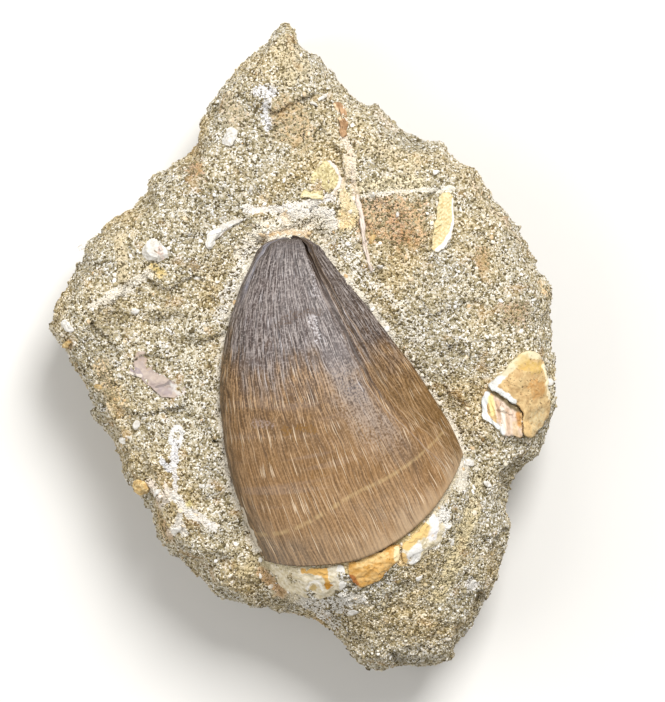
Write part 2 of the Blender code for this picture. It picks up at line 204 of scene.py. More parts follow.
def surface(plan):
    """Height of the block's face at places in plan, as the solid block has it."""
    flat = np.column_stack([plan, np.zeros(len(plan))])
    x, y = plan.T
    level = FACE_HEIGHT + chips(flat, *FACE_CHIPS) + sum(lumps(flat, *each) for each in FACE_LUMPS)
    below_top, above_bottom = smooth((LEDGE_TOP - y) / 3.0), smooth((y - LEDGE_BOTTOM) / 12.0)
    level -= LEDGE_DROP * below_top * above_bottom * smooth((LEDGE_RIGHT - x) / 6.0)
    across = (plan - LEFT_EDGE[3]) @ chord / (chord @ chord)
    inside = np.clip(across, 0.001, 0.999)
    base = np.ones(len(plan))
    out = (plan - crown_plan(base, inside)) @ base_way
    reach = np.where(out > 0, MOUND_REACH, MOUND_REACH_UNDER_CROWN)
    rise = CROWN_LEVEL + crown_height(base) * crown_face(base, inside) - MARGIN_STEP - level
    level += np.maximum(0.0, rise) * np.exp(-((out / reach) ** 2)) * ((across > 0) & (across < 1))
    fall = SHOULDER_DROP * np.maximum(0.0, 1 - nearest(plan, outline) / SHOULDER_WIDTH) ** 2
    moat = MOAT_DEPTH * np.exp(-((nearest(plan, moat_spots) / MOAT_WIDTH) ** 2))
    return level - moat - fall


def lofted_faces(rings, around):
    """Quads between neighbouring rings of points, and a fan that closes each end round a last point."""
    low = np.arange((rings - 1) * around).reshape(rings - 1, around)
    following = np.roll(low, -1, axis=1)
    quads = np.stack([low, low + around, following + around, following], axis=-1).reshape(-1, 4)
    last = (rings - 1) * around + np.arange(around)
    fans = [[k, (k + 1) % around, rings * around] for k in range(around)]
    fans += [[a, b, rings * around + 1] for a, b in zip(last.tolist(), np.roll(last, -1).tolist())]
    return quads.tolist() + fans


def closed_rings(rings):
    """The points of all rings, then the middle of the first and of the last, where the ends close."""
    return np.vstack([*rings, rings[0].mean(axis=0)[None], rings[-1].mean(axis=0)[None]])


def placed(points):
    """Plan millimetres as metres round the block's own middle."""
    return (np.asarray(points) - [*plan_middle, 0.0]) * MM


def new_object(name, data):
    """An object in the scene that shows a mesh, a light or a camera."""
    made = bpy.data.objects.new(name, data)
    bpy.context.scene.collection.objects.link(made)
    return made


def made_piece(name, points, faces, material, replaced=()):
    """A piece of the object from points in plan millimetres, riding on the block."""
    mesh = bpy.data.meshes.new(name)
    mesh.from_pydata(placed(points).tolist(), [], faces)
    shape = bmesh.new()
    shape.from_mesh(mesh)
    bmesh.ops.recalc_face_normals(shape, faces=shape.faces)
    shape.to_mesh(mesh)
    shape.free()
    mesh.shade_smooth()
    mesh.materials.append(material)
    piece = new_object(name, mesh)
    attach(piece, "root")
    if replaced:
        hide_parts(*replaced)
    return piece


def raised(piece, points, heights):
    """Moves each point of the piece along its normal, and gives the new points."""
    normals = np.empty(len(points) * 3)
    piece.data.vertex_normals.foreach_get("vector", normals)
    points = points + normals.reshape(-1, 3) * heights[:, None]
    piece.data.vertices.foreach_set("co", placed(points).ravel())
    piece.data.update()
    return points


def store(mesh, name, values):
    """Numbers, vectors or colours kept on the mesh's points, for its material to read."""
    values = np.asarray(values, dtype=np.float32)
    kinds = {1: ("FLOAT", "value"), 3: ("FLOAT_VECTOR", "vector"), 4: ("FLOAT_COLOR", "color")}
    kind, field = kinds[values.size // len(mesh.vertices)]
    mesh.attributes.new(name, kind, "POINT").data.foreach_set(field, values.ravel())


def linear(hex_colour):
    """An sRGB colour such as #d9c9a3 as the linear RGBA that shaders take."""
    parts = [int(hex_colour[k : k + 2], 16) / 255 for k in (1, 3, 5)]
    return (*(((p + 0.055) / 1.055) ** 2.4 if p > 0.04045 else p / 12.92 for p in parts), 1.0)


def add(tree, kind, inputs=None, **settings):
    """A node with its settings, and a link or a value for each named input."""
    made = tree.nodes.new(kind)
    for name, value in settings.items():
        setattr(made, name, value)
    for name, value in (inputs or {}).items():
        if isinstance(value, bpy.types.NodeSocket):
            tree.links.new(value, made.inputs[name])
        else:
            made.inputs[name].default_value = value
    return made


def new_material(name, roughness, specular):
    """A material with only its surface shader, as (material, tree, shader)."""
    material = bpy.data.materials.new(name)
    material.use_nodes = True
    shader = material.node_tree.nodes["Principled BSDF"]
    shader.inputs["Roughness"].default_value = roughness
    shader.inputs["Specular IOR Level"].default_value = specular
    return material, material.node_tree, shader


def ramped(tree, value, stops, interpolation="LINEAR"):
    """A colour for each value. A new ramp has two stops, so the first two given take their places."""
    ramp = add(tree, "ShaderNodeValToRGB", {"Fac": value})
    ramp.color_ramp.interpolation = interpolation
    for k, (position, colour) in enumerate(stops):
        elements = ramp.color_ramp.elements
        stop = elements[k] if k < 2 else elements.new(position)
        stop.position = position
        stop.color = linear(colour)
    return ramp.outputs["Color"]


def bumped(tree, shader, height, distance, strength=1.0):
    """Fine relief of this many millimetres that only the shading shows."""
    bump = add(tree, "ShaderNodeBump", {"Height": height, "Distance": distance * MM, "Strength": strength})
    tree.links.new(bump.outputs["Normal"], shader.inputs["Normal"])


def mixed(tree, factor, first, second, blend="MIX"):
    """One colour mixed into another. The numbers are the colour mixer's own sockets."""
    return add(tree, "ShaderNodeMix", {0: factor, 6: first, 7: second}, data_type="RGBA",
               blend_type=blend).outputs[2]


def worked(tree, operation, first, second=0.0):
    """A sum, product or other operation on two numbers."""
    return add(tree, "ShaderNodeMath", {0: first, 1: second}, operation=operation).outputs[0]


def spread(tree, value, low, high, top=1.0):
    """The value's range from low to high, drawn out smoothly from 0 to top."""
    return add(tree, "ShaderNodeMapRange", {"Value": value, "From Min": low, "From Max": high, "To Max": top},
               interpolation_type="SMOOTHSTEP").outputs["Result"]


def cloud(tree, place, width, detail=3.0):
    """Noise whose lumps are about this many millimetres wide."""
    return add(tree, "ShaderNodeTexNoise", {"Vector": place, "Scale": 1 / (width * MM),
                                            "Detail": detail}).outputs["Fac"]


# Powder, stains and thin crusts on the sand, and one patch of painted shade: points along each in plan,
# half its width, its colour, and the share of the grains that it covers. Where nearly all are covered, they
# are buried as well.
STAINS_AND_SHADE = (
    # The reddish field and the pale lines above the crown's right shoulder.
    (((11.8, 22.0), (15.8, 20.8)), 4.4, "#cfa26c", 0.47),
    (((16.8, 18.3), (15.4, 20.5)), 1.2, "#b98552", 0.5),
    (((6.9, 20.8), (7.6, 22.4)), 1.6, "#efd6a2", 0.9),
    (((6.6, 25.9), (7.4, 23.5)), 0.8, "#efdcb0", 0.85),
    (((8.3, 26.5), (8.6, 22.5)), 0.6, "#e4d8b2", 0.8),
    (((7.0, 31.6), (7.6, 29.4), (6.4, 26.6), (4.6, 24.6)), 0.45, "#ecdcc0", 0.95),
    (((6.3, 37.6), (7.0, 34.6), (8.2, 31.4), (8.4, 27.4), (8.8, 24.6)), 0.5, "#ecdcc8", 0.9),
    (((9.4, 25.0), (12.0, 25.4), (15.4, 25.8), (20.7, 26.1), (24.8, 26.2)), 0.4, "#f4eee0", 1.0),
    (((9.4, 26.6), (13.6, 27.2), (19.0, 27.3)), 1.2, "#efdfb6", 0.42),
    (((4.6, 24.9), (3.0, 24.3), (0.6, 23.9), (-1.6, 23.1), (-4.4, 22.8), (-9.0, 22.8)), 0.65,
     "#f4eee6", 0.97),
    (((-3.6, 21.6), (-0.6, 22.0), (2.2, 22.6), (4.2, 22.0), (5.0, 20.4)), 0.95, "#f4f0ea", 0.88),
    (((-3.0, 21.9), (-2.6, 20.9)), 0.55, "#e0b678", 0.8),
    (((-5.4, 21.4),), 0.4, "#d6a866", 0.65),
    (((-6.4, 18.2), (-4.0, 19.1), (-2.4, 19.3), (0.9, 18.8)), 0.5, "#d8b078", 0.9),
    (((8.4, 31.5), (8.9, 28.5)), 0.4, "#ece2cc", 0.7),
    # Powder and warm patches towards the top.
    (((-3.2, 39.0), (-1.0, 35.8)), 3.4, "#c4a26a", 0.42),
    (((-13.0, 41.0), (-11.0, 38.0)), 2.0, "#cdb48c", 0.4),
    (((-7.4, 42.3), (-5.1, 42.0)), 1.1, "#e6e6ea", 0.72),
    (((-6.0, 41.2), (-6.3, 39.0), (-5.8, 36.7)), 0.8, "#e6e6ea", 0.66),
    (((-3.0, 51.5), (-1.4, 46.5)), 3.0, "#dccba6", 0.45),
    (((-18.0, 29.6),), 1.8, "#b98a54", 0.5),
    (((12.0, 33.0), (18.0, 30.5)), 1.6, "#ddc9a2", 0.4),
    (((12.4, 39.8), (14.4, 37.8), (17.2, 35.9)), 0.9, "#e8dac8", 0.7),
    # The right side and its warm rim.
    (((29.8, 16.0), (29.6, 13.4)), 1.0, "#b8925c", 0.5),
    (((35.3, 6.0),), 2.4, "#b08a5c", 0.42),
    (((29.5, 27.1), (33.8, 22.3), (37.8, 17.1)), 1.4, "#e3d0b6", 0.6),
    (((30.5, 25.7), (34.2, 21.2), (37.4, 17.1)), 0.3, "#a9845e", 0.75),
    (((38.6, 14.6), (41.0, 9.6)), 1.1, "#dcb880", 0.6),
    (((27.0, 10.0), (31.0, 4.0)), 1.2, "#e6dcc6", 0.4),
    # The left side.
    (((-24.7, 13.0), (-23.6, 12.4)), 1.0, "#d8bd74", 0.6),
    (((-34.7, 7.1), (-30.0, 9.2), (-25.5, 12.1)), 0.9, "#ebe4d6", 0.72),
    (((-30.3, 18.0), (-29.9, 15.0), (-29.7, 11.9)), 1.0, "#dccba8", 0.6),
    (((-39.2, 0.5),), 1.0, "#c9a06a", 0.6),
    # Painted shade along the low step in the face.
    (((-31.4, 3.8),), 3.0, "#7a6c50", 0.32),
    (((-33.5, -3.0), (-31.0, -9.0)), 1.6, "#d3b27c", 0.4),
    (((-19.5, 3.0), (-18.0, -6.0), (-18.5, -14.0)), 1.6, "#e2dccb", 0.42),
    # The thin white net at the lower left.
    (((-21.7, -15.8), (-21.7, -13.8), (-20.5, -12.9), (-19.9, -13.9), (-20.2, -16.0)), 0.34, "#f0efee", 1.0),
    (((-21.1, -15.6), (-21.1, -17.6), (-21.3, -19.6)), 0.65, "#e6e6ea", 0.85),
    (((-21.2, -19.6), (-21.0, -24.0)), 0.42, "#efecec", 0.95),
    (((-23.1, -18.9), (-22.2, -20.0)), 0.5, "#e6e8ee", 0.9),
    (((-25.4, -22.4), (-24.2, -24.8), (-21.6, -24.0)), 0.8, "#eee2d6", 0.75),
    (((-24.0, -26.4), (-21.6, -24.8), (-22.8, -22.6)), 0.3, "#efe6dc", 0.9),
    (((-21.0, -24.3), (-19.8, -26.0), (-18.7, -27.1), (-17.0, -27.9), (-14.8, -29.5)), 0.8, "#f2eee8", 0.9),
    (((-19.9, -26.2), (-20.6, -28.8), (-21.2, -30.2)), 0.45, "#efeae2", 0.9),
    (((-22.0, -30.4), (-20.3, -29.4), (-19.6, -30.6)), 0.75, "#efebe4", 0.9),
    (((-18.8, -25.8),), 0.5, "#e2d79c", 0.75),
    (((-25.6, -26.5), (-22.8, -31.4)), 1.4, "#cba678", 0.45),
    # What is left of the root under the crown's base, and the crusts round it.
    (((-6.2, -35.6), (-2.2, -35.9), (1.8, -36.0), (6.4, -35.4)), 1.1, "#d6c9a6", 1.0),
    (((7.0, -35.3), (11.0, -33.9), (14.5, -32.2), (17.6, -30.3), (20.0, -28.0)), 0.9, "#dcc58e", 1.0),
    (((20.6, -27.2), (22.8, -24.4), (25.4, -20.6)), 0.9, "#ddd0b4", 0.95),
    (((-3.0, -40.0), (-0.5, -41.2)), 1.7, "#cfc3a8", 0.8),
    (((-6.9, -37.0), (-5.2, -38.6), (-3.4, -40.4)), 0.9, "#cfa878", 0.75),
    (((-8.4, -35.2), (-9.6, -37.2)), 1.2, "#d6c49a", 0.5),
    (((6.8, -40.6), (9.8, -40.8)), 0.8, "#e9e3d8", 0.85),
    (((6.5, -42.2), (1.0, -42.4), (4.6, -45.6)), 2.0, "#e8e6e2", 0.6),
    (((24.0, -49.0), (19.0, -51.5)), 2.0, "#e2dcd0", 0.42),
    (((16.6, -34.6),), 0.9, "#e0c188", 0.9),
    (((21.6, -31.8), (22.8, -29.0), (23.2, -26.8)), 1.0, "#efece6", 0.85),
    (((27.9, -26.9), (26.3, -31.0), (24.3, -36.0), (22.5, -40.6)), 1.3, "#dccb9e", 0.6),
    (((26.9, -19.0), (25.9, -22.4)), 1.0, "#e9e2d4", 0.9),
    (((29.0, -21.4), (28.0, -25.6)), 1.0, "#e2d4ae", 0.5),
    (((27.8, -39.1),), 1.2, "#e9e6e4", 0.7),
    (((25.8, -48.5), (29.5, -44.5), (33.0, -34.0)), 1.1, "#e9e2d4", 0.5),
    (((4.0, 20.0), (2.0, 20.8), (-6.0, 20.5), (-10.5, 15.5)), 1.6, "#f0e8d8", 0.62),
    (((6.4, 17.2), (8.8, 13.6), (11.4, 10.0)), 1.3, "#f2ede4", 0.52),
    (((-8.8, 15.4), (-11.6, 10.4), (-13.4, 5.0)), 1.3, "#f1ece4", 0.58),
    (((14.0, 9.0), (20.0, 0.5)), 1.0, "#ebe6da", 0.5),
)
HALO_WIDTH = 1.1
# The stains lie on the face and fade out down the sides, from this height plus the fade to it.
STAINS_END = 17.0
STAINS_FADE = 5.0
# A mark thins out from 0.6 to 1.5 half widths from its line. Points past its reach aren't looked at.
MARK_END = 1.5
MARK_FADE = 0.9
MARK_REACH = 2.2


def painted(points, marks):
    """Colour and strength, as RGBA, of marks with ragged edges laid one over another."""
    ragged = 1 + lumps(points, 0.45, 2.2, 8.3) + lumps(points, 0.45, 0.8, 3.9)
    found = np.zeros((len(points), 4))
    for line, width, colour, strength in marks:
        spots = np.array(line)
        if len(spots) > 1:
            steps = np.linspace(0, len(spots) - 1, 12 * len(spots))
            spots = np.column_stack([np.interp(steps, np.arange(len(spots)), spots[:, k]) for k in (0, 1)])
        reach = MARK_REACH * width
        plan = points[:, :2]
        close = ((plan > spots.min(axis=0) - reach) & (plan < spots.max(axis=0) + reach)).all(axis=1)
        close = np.flatnonzero(close)
        away = nearest(plan[close], spots) / width * ragged[close]
        share = (strength * smooth((MARK_END - away) / MARK_FADE))[:, None]
        before = found[close, 3:]
        after = np.maximum(before, share)
        kept = np.where(before > 0, 1 - share / np.maximum(after, 1e-6), 0.0)
        found[close, :3] = found[close, :3] * kept + np.array(linear(colour)[:3]) * (1 - kept)
        found[close, 3:] = after
    return found


def stain_and_shade_colours(points):
    """The stains of the face with one patch of painted shade, and the pale powder in the cut round the crown.
    """
    found = painted(points, STAINS_AND_SHADE)
    found[:, 3] *= smooth((points[:, 2] - STAINS_END) / STAINS_FADE)
    edge = np.vstack([bezier(side, np.linspace(0, 0.97, 60)) for side in (LEFT_EDGE, RIGHT_EDGE)])
    edge = np.vstack([edge, crown_plan(np.zeros(9), np.linspace(0, 1, 9)) + [0.0, TIP_BULGE]])
    uneven = 1 + lumps(points, 0.8, 3.0, 1.9) + lumps(points, 0.5, 1.0, 4.6)
    powder = 0.95 * np.exp(-((nearest(points[:, :2], edge) / HALO_WIDTH) ** 2)) * uneven
    powder = np.clip(powder, 0.0, 1.0)[:, None]
    whiter = powder > found[:, 3:]
    found[:, :3] = np.where(whiter, linear("#ece4d4")[:3], found[:, :3])
    found[:, 3:] = np.maximum(powder, found[:, 3:])
    return found


# Sand grain tones, from the darkest to the palest, with where each begins.
GRAIN_TONES = ((0.0, "#645941"), (0.13, "#867b5c"), (0.28, "#ada285"), (0.48, "#c6bca4"),
               (0.68, "#dad5c8"), (0.86, "#f4f2ee"))
GRAIN_SIZE = 0.34


def sand_material(name, tone_of):
    """Cemented sand, which looks dull and speckled: grain tones, wide warm and grey fields, stains."""
    material, tree, shader = new_material(name, 0.85, 0.2)
    place = add(tree, "ShaderNodeTexCoord").outputs["Object"]
    tone = tone_of(tree, place)
    grains = ramped(tree, tone, GRAIN_TONES, "CONSTANT")
    fields = ramped(tree, cloud(tree, place, 11.0),
                    ((0.34, "#f7ebd2"), (0.64, "#f0efed"), (0.48, "#f9f5ec")))
    colour = mixed(tree, 1.0, grains, fields, "MULTIPLY")
    warm = spread(tree, cloud(tree, place, 4.0), 0.58, 0.72, 0.32)
    colour = mixed(tree, warm, colour, linear("#c39a62"))
    stain = add(tree, "ShaderNodeAttribute", attribute_name="stain")
    speck = worked(tree, "MULTIPLY", worked(tree, "SUBTRACT", cloud(tree, place, 0.6), 0.5), 0.9)
    pick = worked(tree, "MULTIPLY", worked(tree, "SUBTRACT", tone, 0.5), 0.6)
    cover = worked(tree, "ADD", stain.outputs["Alpha"], worked(tree, "ADD", speck, pick))
    cover = spread(tree, cover, 0.36, 0.64)
    coat = mixed(tree, 0.3, stain.outputs["Color"], colour)
    tree.links.new(mixed(tree, cover, colour, coat), shader.inputs["Base Color"])
    return material, tree, shader, place


def cell_tone(tree, place):
    """A random tone for each cell as large as a grain."""
    cells = add(tree, "ShaderNodeTexVoronoi", {"Vector": place, "Scale": 1 / (GRAIN_SIZE * MM)})
    return add(tree, "ShaderNodeSeparateColor", {"Color": cells.outputs["Color"]}).outputs[0]


block_sand, tree, shader, place = sand_material("Phosphate sand, cemented", cell_tone)
cells = add(tree, "ShaderNodeTexVoronoi", {"Vector": place, "Scale": 1 / (GRAIN_SIZE * MM)})
height = worked(tree, "SUBTRACT", cloud(tree, place, 0.4), cells.outputs["Distance"])
bumped(tree, shader, height, 0.25)

inward = HUB - outline
inward /= np.linalg.norm(inward, axis=1)[:, None]
coarse = []
for inset, height in SIDE_RINGS:
    ring = np.column_stack([outline + inward * inset, np.full(POINTS_ROUND, height)])
    push = np.zeros(POINTS_ROUND)
    sway = np.zeros(POINTS_ROUND)
    if height != WIDEST_HEIGHT:
        push = lumps(ring, *SIDE_LUMPS) + np.abs(chips(ring, *SIDE_CHIPS))
    if height > 0:
        sway = lumps(ring, *RING_SWAY)
    coarse.append(ring + np.column_stack([inward * push[:, None], sway]))
face_rim = outline + inward * FACE_START
coarse.append(np.column_stack([face_rim, surface(face_rim)]))
before, after = [coarse[0], *coarse[:-2]], [*coarse[2:], coarse[-1]]
a, b, c, d = (np.array(each)[:, None] for each in (before, coarse[:-1], coarse[1:], after))
sides = spline(a, b, c, d, np.arange(SIDE_STEPS)[None, :, None, None] / SIDE_STEPS)
sides = sides.reshape(-1, POINTS_ROUND, 3)

# The face's rings run from its rim to just under the crown's edge. The hole that they leave there is
# closed by a fan down to its floor, and the crown hides it.
HOLE_SHARE = 0.86
HOLE_FLOOR = 18.0
EDGE_PLACES = 80
edge_t = np.linspace(0, 1, EDGE_PLACES)
crown_rim = np.vstack([bezier(LEFT_EDGE, edge_t), crown_plan(np.ones(EDGE_PLACES), edge_t),
                       bezier(RIGHT_EDGE, edge_t[::-1])]) - HUB
rim_angle = np.arctan2(crown_rim[:, 1], crown_rim[:, 0])
order = np.argsort(rim_angle)
angle = np.arctan2(-inward[:, 1], -inward[:, 0])
crown_radius = np.interp(angle, rim_angle[order], np.linalg.norm(crown_rim, axis=1)[order],
                         period=2 * math.pi)
inner = HUB - inward * (crown_radius * HOLE_SHARE)[:, None]
share = (np.arange(FACE_RINGS) / (FACE_RINGS - 1))[:, None, None]
face_plan = (face_rim * (1 - share) + inner * share).reshape(-1, 2)
face = np.column_stack([face_plan, surface(face_plan)]).reshape(FACE_RINGS, POINTS_ROUND, 3)
rings = np.vstack([sides, face])
points = np.vstack([rings.reshape(-1, 3), [[*HUB, 0.0], [*HUB, HOLE_FLOOR]]])
points[:, 2] = np.maximum(points[:, 2], 0.0)
block = made_piece("sand_block", points, lofted_faces(len(rings), POINTS_ROUND), block_sand,
                   ["sand_matrix"])
SIDES_START = 24.0
SIDES_FADE = 4.0
side_share = smooth((SIDES_START - points[:, 2]) / SIDES_FADE)
relief = sum(lumps(points, *each) for each in FINE_LUMPS) + side_share * chips(points, *FINE_CHIPS)
points = raised(block, points, relief * smooth(points[:, 2] / 2.0))
stain = stain_and_shade_colours(points)
store(block.data, "stain", stain)
buried = smooth((stain[:, 3] - 0.86) / 0.14)
cover = smooth((points[:, 2] - 1.5) / 2.0) * (1 - 0.5 * side_share) * (1 - 0.75 * buried)
right, top = points[:, 0] > 0, points[:, 1] > 0
for name, part in (("top_left", ~right & top), ("top_right", right & top),
                   ("low_left", ~right & ~top), ("low_right", right & ~top)):
    store(block.data, "cover_" + name, cover * part)
store(block.data, "cover_all", cover)
crumbs = 0.2 * smooth((stain[:, 3] - 0.5) / 0.4) * (1 - side_share)
store(block.data, "crumb_cover", 0.03 * cover + crumbs)


# Loose-looking grains stand out of the cement all over the face: phosphate pellets and bone sand,
# most of them under half a millimetre across. Crumbs of white shell lie flat among them.
# How many spots to a square metre are tried before those that lie too close are dropped.
SPOTS_TRIED = 2e7


def grain_nodes():
    """Geometry nodes that strew turned and stretched copies of one grain over a surface."""
    group = bpy.data.node_groups.new("Strewn grains", "GeometryNodeTree")
    for name, kind in (("Geometry", "NodeSocketGeometry"), ("Grain", "NodeSocketObject"),
                       ("Cover", "NodeSocketString"), ("Spacing", "NodeSocketFloat"),
                       ("Smallest radius", "NodeSocketFloat"), ("Largest radius", "NodeSocketFloat"),
                       ("Tilt", "NodeSocketFloat"), ("Seed", "NodeSocketInt"),
                       ("Material", "NodeSocketMaterial")):
        group.interface.new_socket(name, in_out="INPUT", socket_type=kind)
    group.interface.new_socket("Geometry", in_out="OUTPUT", socket_type="NodeSocketGeometry")
    given = add(group, "NodeGroupInput").outputs
    where = add(group, "GeometryNodeInputNamedAttribute", {"Name": given["Cover"]}, data_type="FLOAT")
    spots = add(group, "GeometryNodeDistributePointsOnFaces",
                {"Mesh": given["Geometry"], "Distance Min": given["Spacing"], "Density Max": SPOTS_TRIED,
                 "Density Factor": where.outputs["Attribute"], "Seed": given["Seed"]},
                distribute_method="POISSON")
    grain = add(group, "GeometryNodeObjectInfo", {"Object": given["Grain"]})
    most = add(group, "ShaderNodeCombineXYZ", {"X": given["Tilt"], "Y": given["Tilt"], "Z": math.pi})
    least = add(group, "ShaderNodeVectorMath", {0: most.outputs[0], "Scale": -1.0}, operation="SCALE")
    turn = add(group, "FunctionNodeRandomValue", {"Min": least.outputs[0], "Max": most.outputs[0], "Seed": 1},
               data_type="FLOAT_VECTOR")
    angles = add(group, "FunctionNodeEulerToRotation", {"Euler": turn.outputs[0]})
    turned = add(group, "FunctionNodeRotateRotation",
                 {"Rotation": spots.outputs["Rotation"], "Rotate By": angles.outputs[0]},
                 rotation_space="LOCAL")
    stretch = add(group, "FunctionNodeRandomValue",
                  {"Min": (0.7, 0.8, 0.7), "Max": (1.4, 1.2, 1.1), "Seed": 2}, data_type="FLOAT_VECTOR")
    size = add(group, "FunctionNodeRandomValue",
               {2: given["Smallest radius"], 3: given["Largest radius"], "Seed": 3}, data_type="FLOAT")
    scale = add(group, "ShaderNodeVectorMath", {0: stretch.outputs[0], "Scale": size.outputs[1]},
                operation="SCALE")
    strewn = add(group, "GeometryNodeInstanceOnPoints",
                 {"Points": spots.outputs["Points"], "Instance": grain.outputs["Geometry"],
                  "Rotation": turned.outputs[0], "Scale": scale.outputs["Vector"]})
    tone = add(group, "FunctionNodeRandomValue", {2: 0.0, 3: 1.0, "Seed": 4}, data_type="FLOAT")
    toned = add(group, "GeometryNodeStoreNamedAttribute",
                {"Geometry": strewn.outputs["Instances"], "Name": "tone", "Value": tone.outputs[1]},
                data_type="FLOAT", domain="INSTANCE")
    real = add(group, "GeometryNodeRealizeInstances", {"Geometry": toned.outputs["Geometry"]})
    finished = add(group, "GeometryNodeSetMaterial",
                   {"Geometry": real.outputs["Geometry"], "Material": given["Material"]})
    add(group, "NodeGroupOutput", {"Geometry": finished.outputs["Geometry"]})
    return group


def one_grain(name, around, rows, thickness, roughness):
    """One grain of radius 1 to be strewn: a ball of few faces, knocked out of round."""
    draw = random.Random(name)
    shape = bmesh.new()
    bmesh.ops.create_uvsphere(shape, u_segments=around, v_segments=rows, radius=1.0)
    for point in shape.verts:
        point.co *= 1 + draw.uniform(-roughness, roughness)
        point.co.z *= thickness
    mesh = bpy.data.meshes.new(name)
    shape.to_mesh(mesh)
    shape.free()
    return bpy.data.objects.new(name, mesh)


def grain_tone(tree, place):
    """The tone that each strewn grain keeps. Its place isn't needed."""
    return add(tree, "ShaderNodeAttribute", attribute_name="tone").outputs["Fac"]


grain_sand = sand_material("Phosphate pellets and bone sand", grain_tone)[0]
crumb_shell, tree, shader = new_material("Crumbled shell, chalky", 0.7, 0.3)
crumb_colour = ramped(tree, grain_tone(tree, None),
                      ((0.0, "#c9a878"), (1.0, "#f3f0ea"), (0.25, "#ddccb0"), (0.6, "#ece5d8")))
tree.links.new(crumb_colour, shader.inputs["Base Color"])
strew = grain_nodes()
sharp_grain = one_grain("sharp_grain", 4, 2, 1.0, 0.25)
round_grain = one_grain("round_grain", 5, 3, 1.0, 0.15)
pebble = one_grain("pebble", 8, 5, 0.85, 0.08)
flake = one_grain("flake", 6, 4, 0.3, 0.3)
# Name, grain, where it lies, spacing, smallest and largest radius, tilt, seed, material and slot.
GRAIN_LAYERS = (
    *((f"grains_fine_{part}", sharp_grain, "cover_" + part, 0.34, 0.1, 0.19, 3.1, seed, grain_sand,
       "phosphate_sand") for seed, part in enumerate(("top_left", "top_right", "low_left", "low_right"))),
    ("grains_middling", round_grain, "cover_all", 1.1, 0.15, 0.28, 3.1, 13, grain_sand, "phosphate_sand"),
    ("grains_coarse", pebble, "cover_all", 5.0, 0.25, 0.45, 3.1, 14, grain_sand, "phosphate_sand"),
    ("shell_crumbs", flake, "crumb_cover", 0.9, 0.2, 0.5, 0.4, 15, crumb_shell, "white_shell"),
)
for name, grain, where, spacing, smallest, largest, tilt, seed, material, slot in GRAIN_LAYERS:
    carrier = new_object(name + "_carrier", block.data)
    modifier = carrier.modifiers.new("strewn grains", "NODES")
    modifier.node_group = strew
    sockets = {s.name: s.identifier for s in strew.interface.items_tree if s.in_out == "INPUT"}
    for label, value in (("Grain", grain), ("Cover", where), ("Spacing", spacing * MM),
                         ("Smallest radius", smallest * MM), ("Largest radius", largest * MM),
                         ("Tilt", tilt), ("Seed", seed), ("Material", material)):
        modifier[sockets[label]] = value
    graph = bpy.context.evaluated_depsgraph_get()
    mesh = bpy.data.meshes.new_from_object(carrier.evaluated_get(graph), depsgraph=graph)
    bpy.data.objects.remove(carrier)
    mesh.name = name
    if grain is not sharp_grain:
        mesh.shade_smooth()
    corners = len(grain.data.vertices)
    places = np.empty(len(mesh.vertices) * 3)
    mesh.vertices.foreach_get("co", places)
    middles = places.reshape(-1, corners, 3).mean(axis=1) / MM + [*plan_middle, 0.0]
    store(mesh, "stain", np.repeat(stain_and_shade_colours(middles), corners, axis=0))
    grains = new_object(name, mesh)
    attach(grains, "root")
    print(name, len(middles), "grains")
for grain in (sharp_grain, round_grain, pebble, flake):
    bpy.data.objects.remove(grain)


# The crown is brown enamel over dentine, fine ridges running from its worn tip to its base. Its broad
# face is domed, and past the keel on its right it is flatter. Its base is hollow and lies in the sand.
ACROSS_FACE = 240
ACROSS_BACK = 60
ALONG_STEPS = 260
# Streaks across the crown near its tip, in its upper part and in its lower half.
RIDGES = (52.0, 90.0, 128.0)
# Even ridges across the crown in the same three parts.
WAVES = (19.0, 42.0, 58.0)


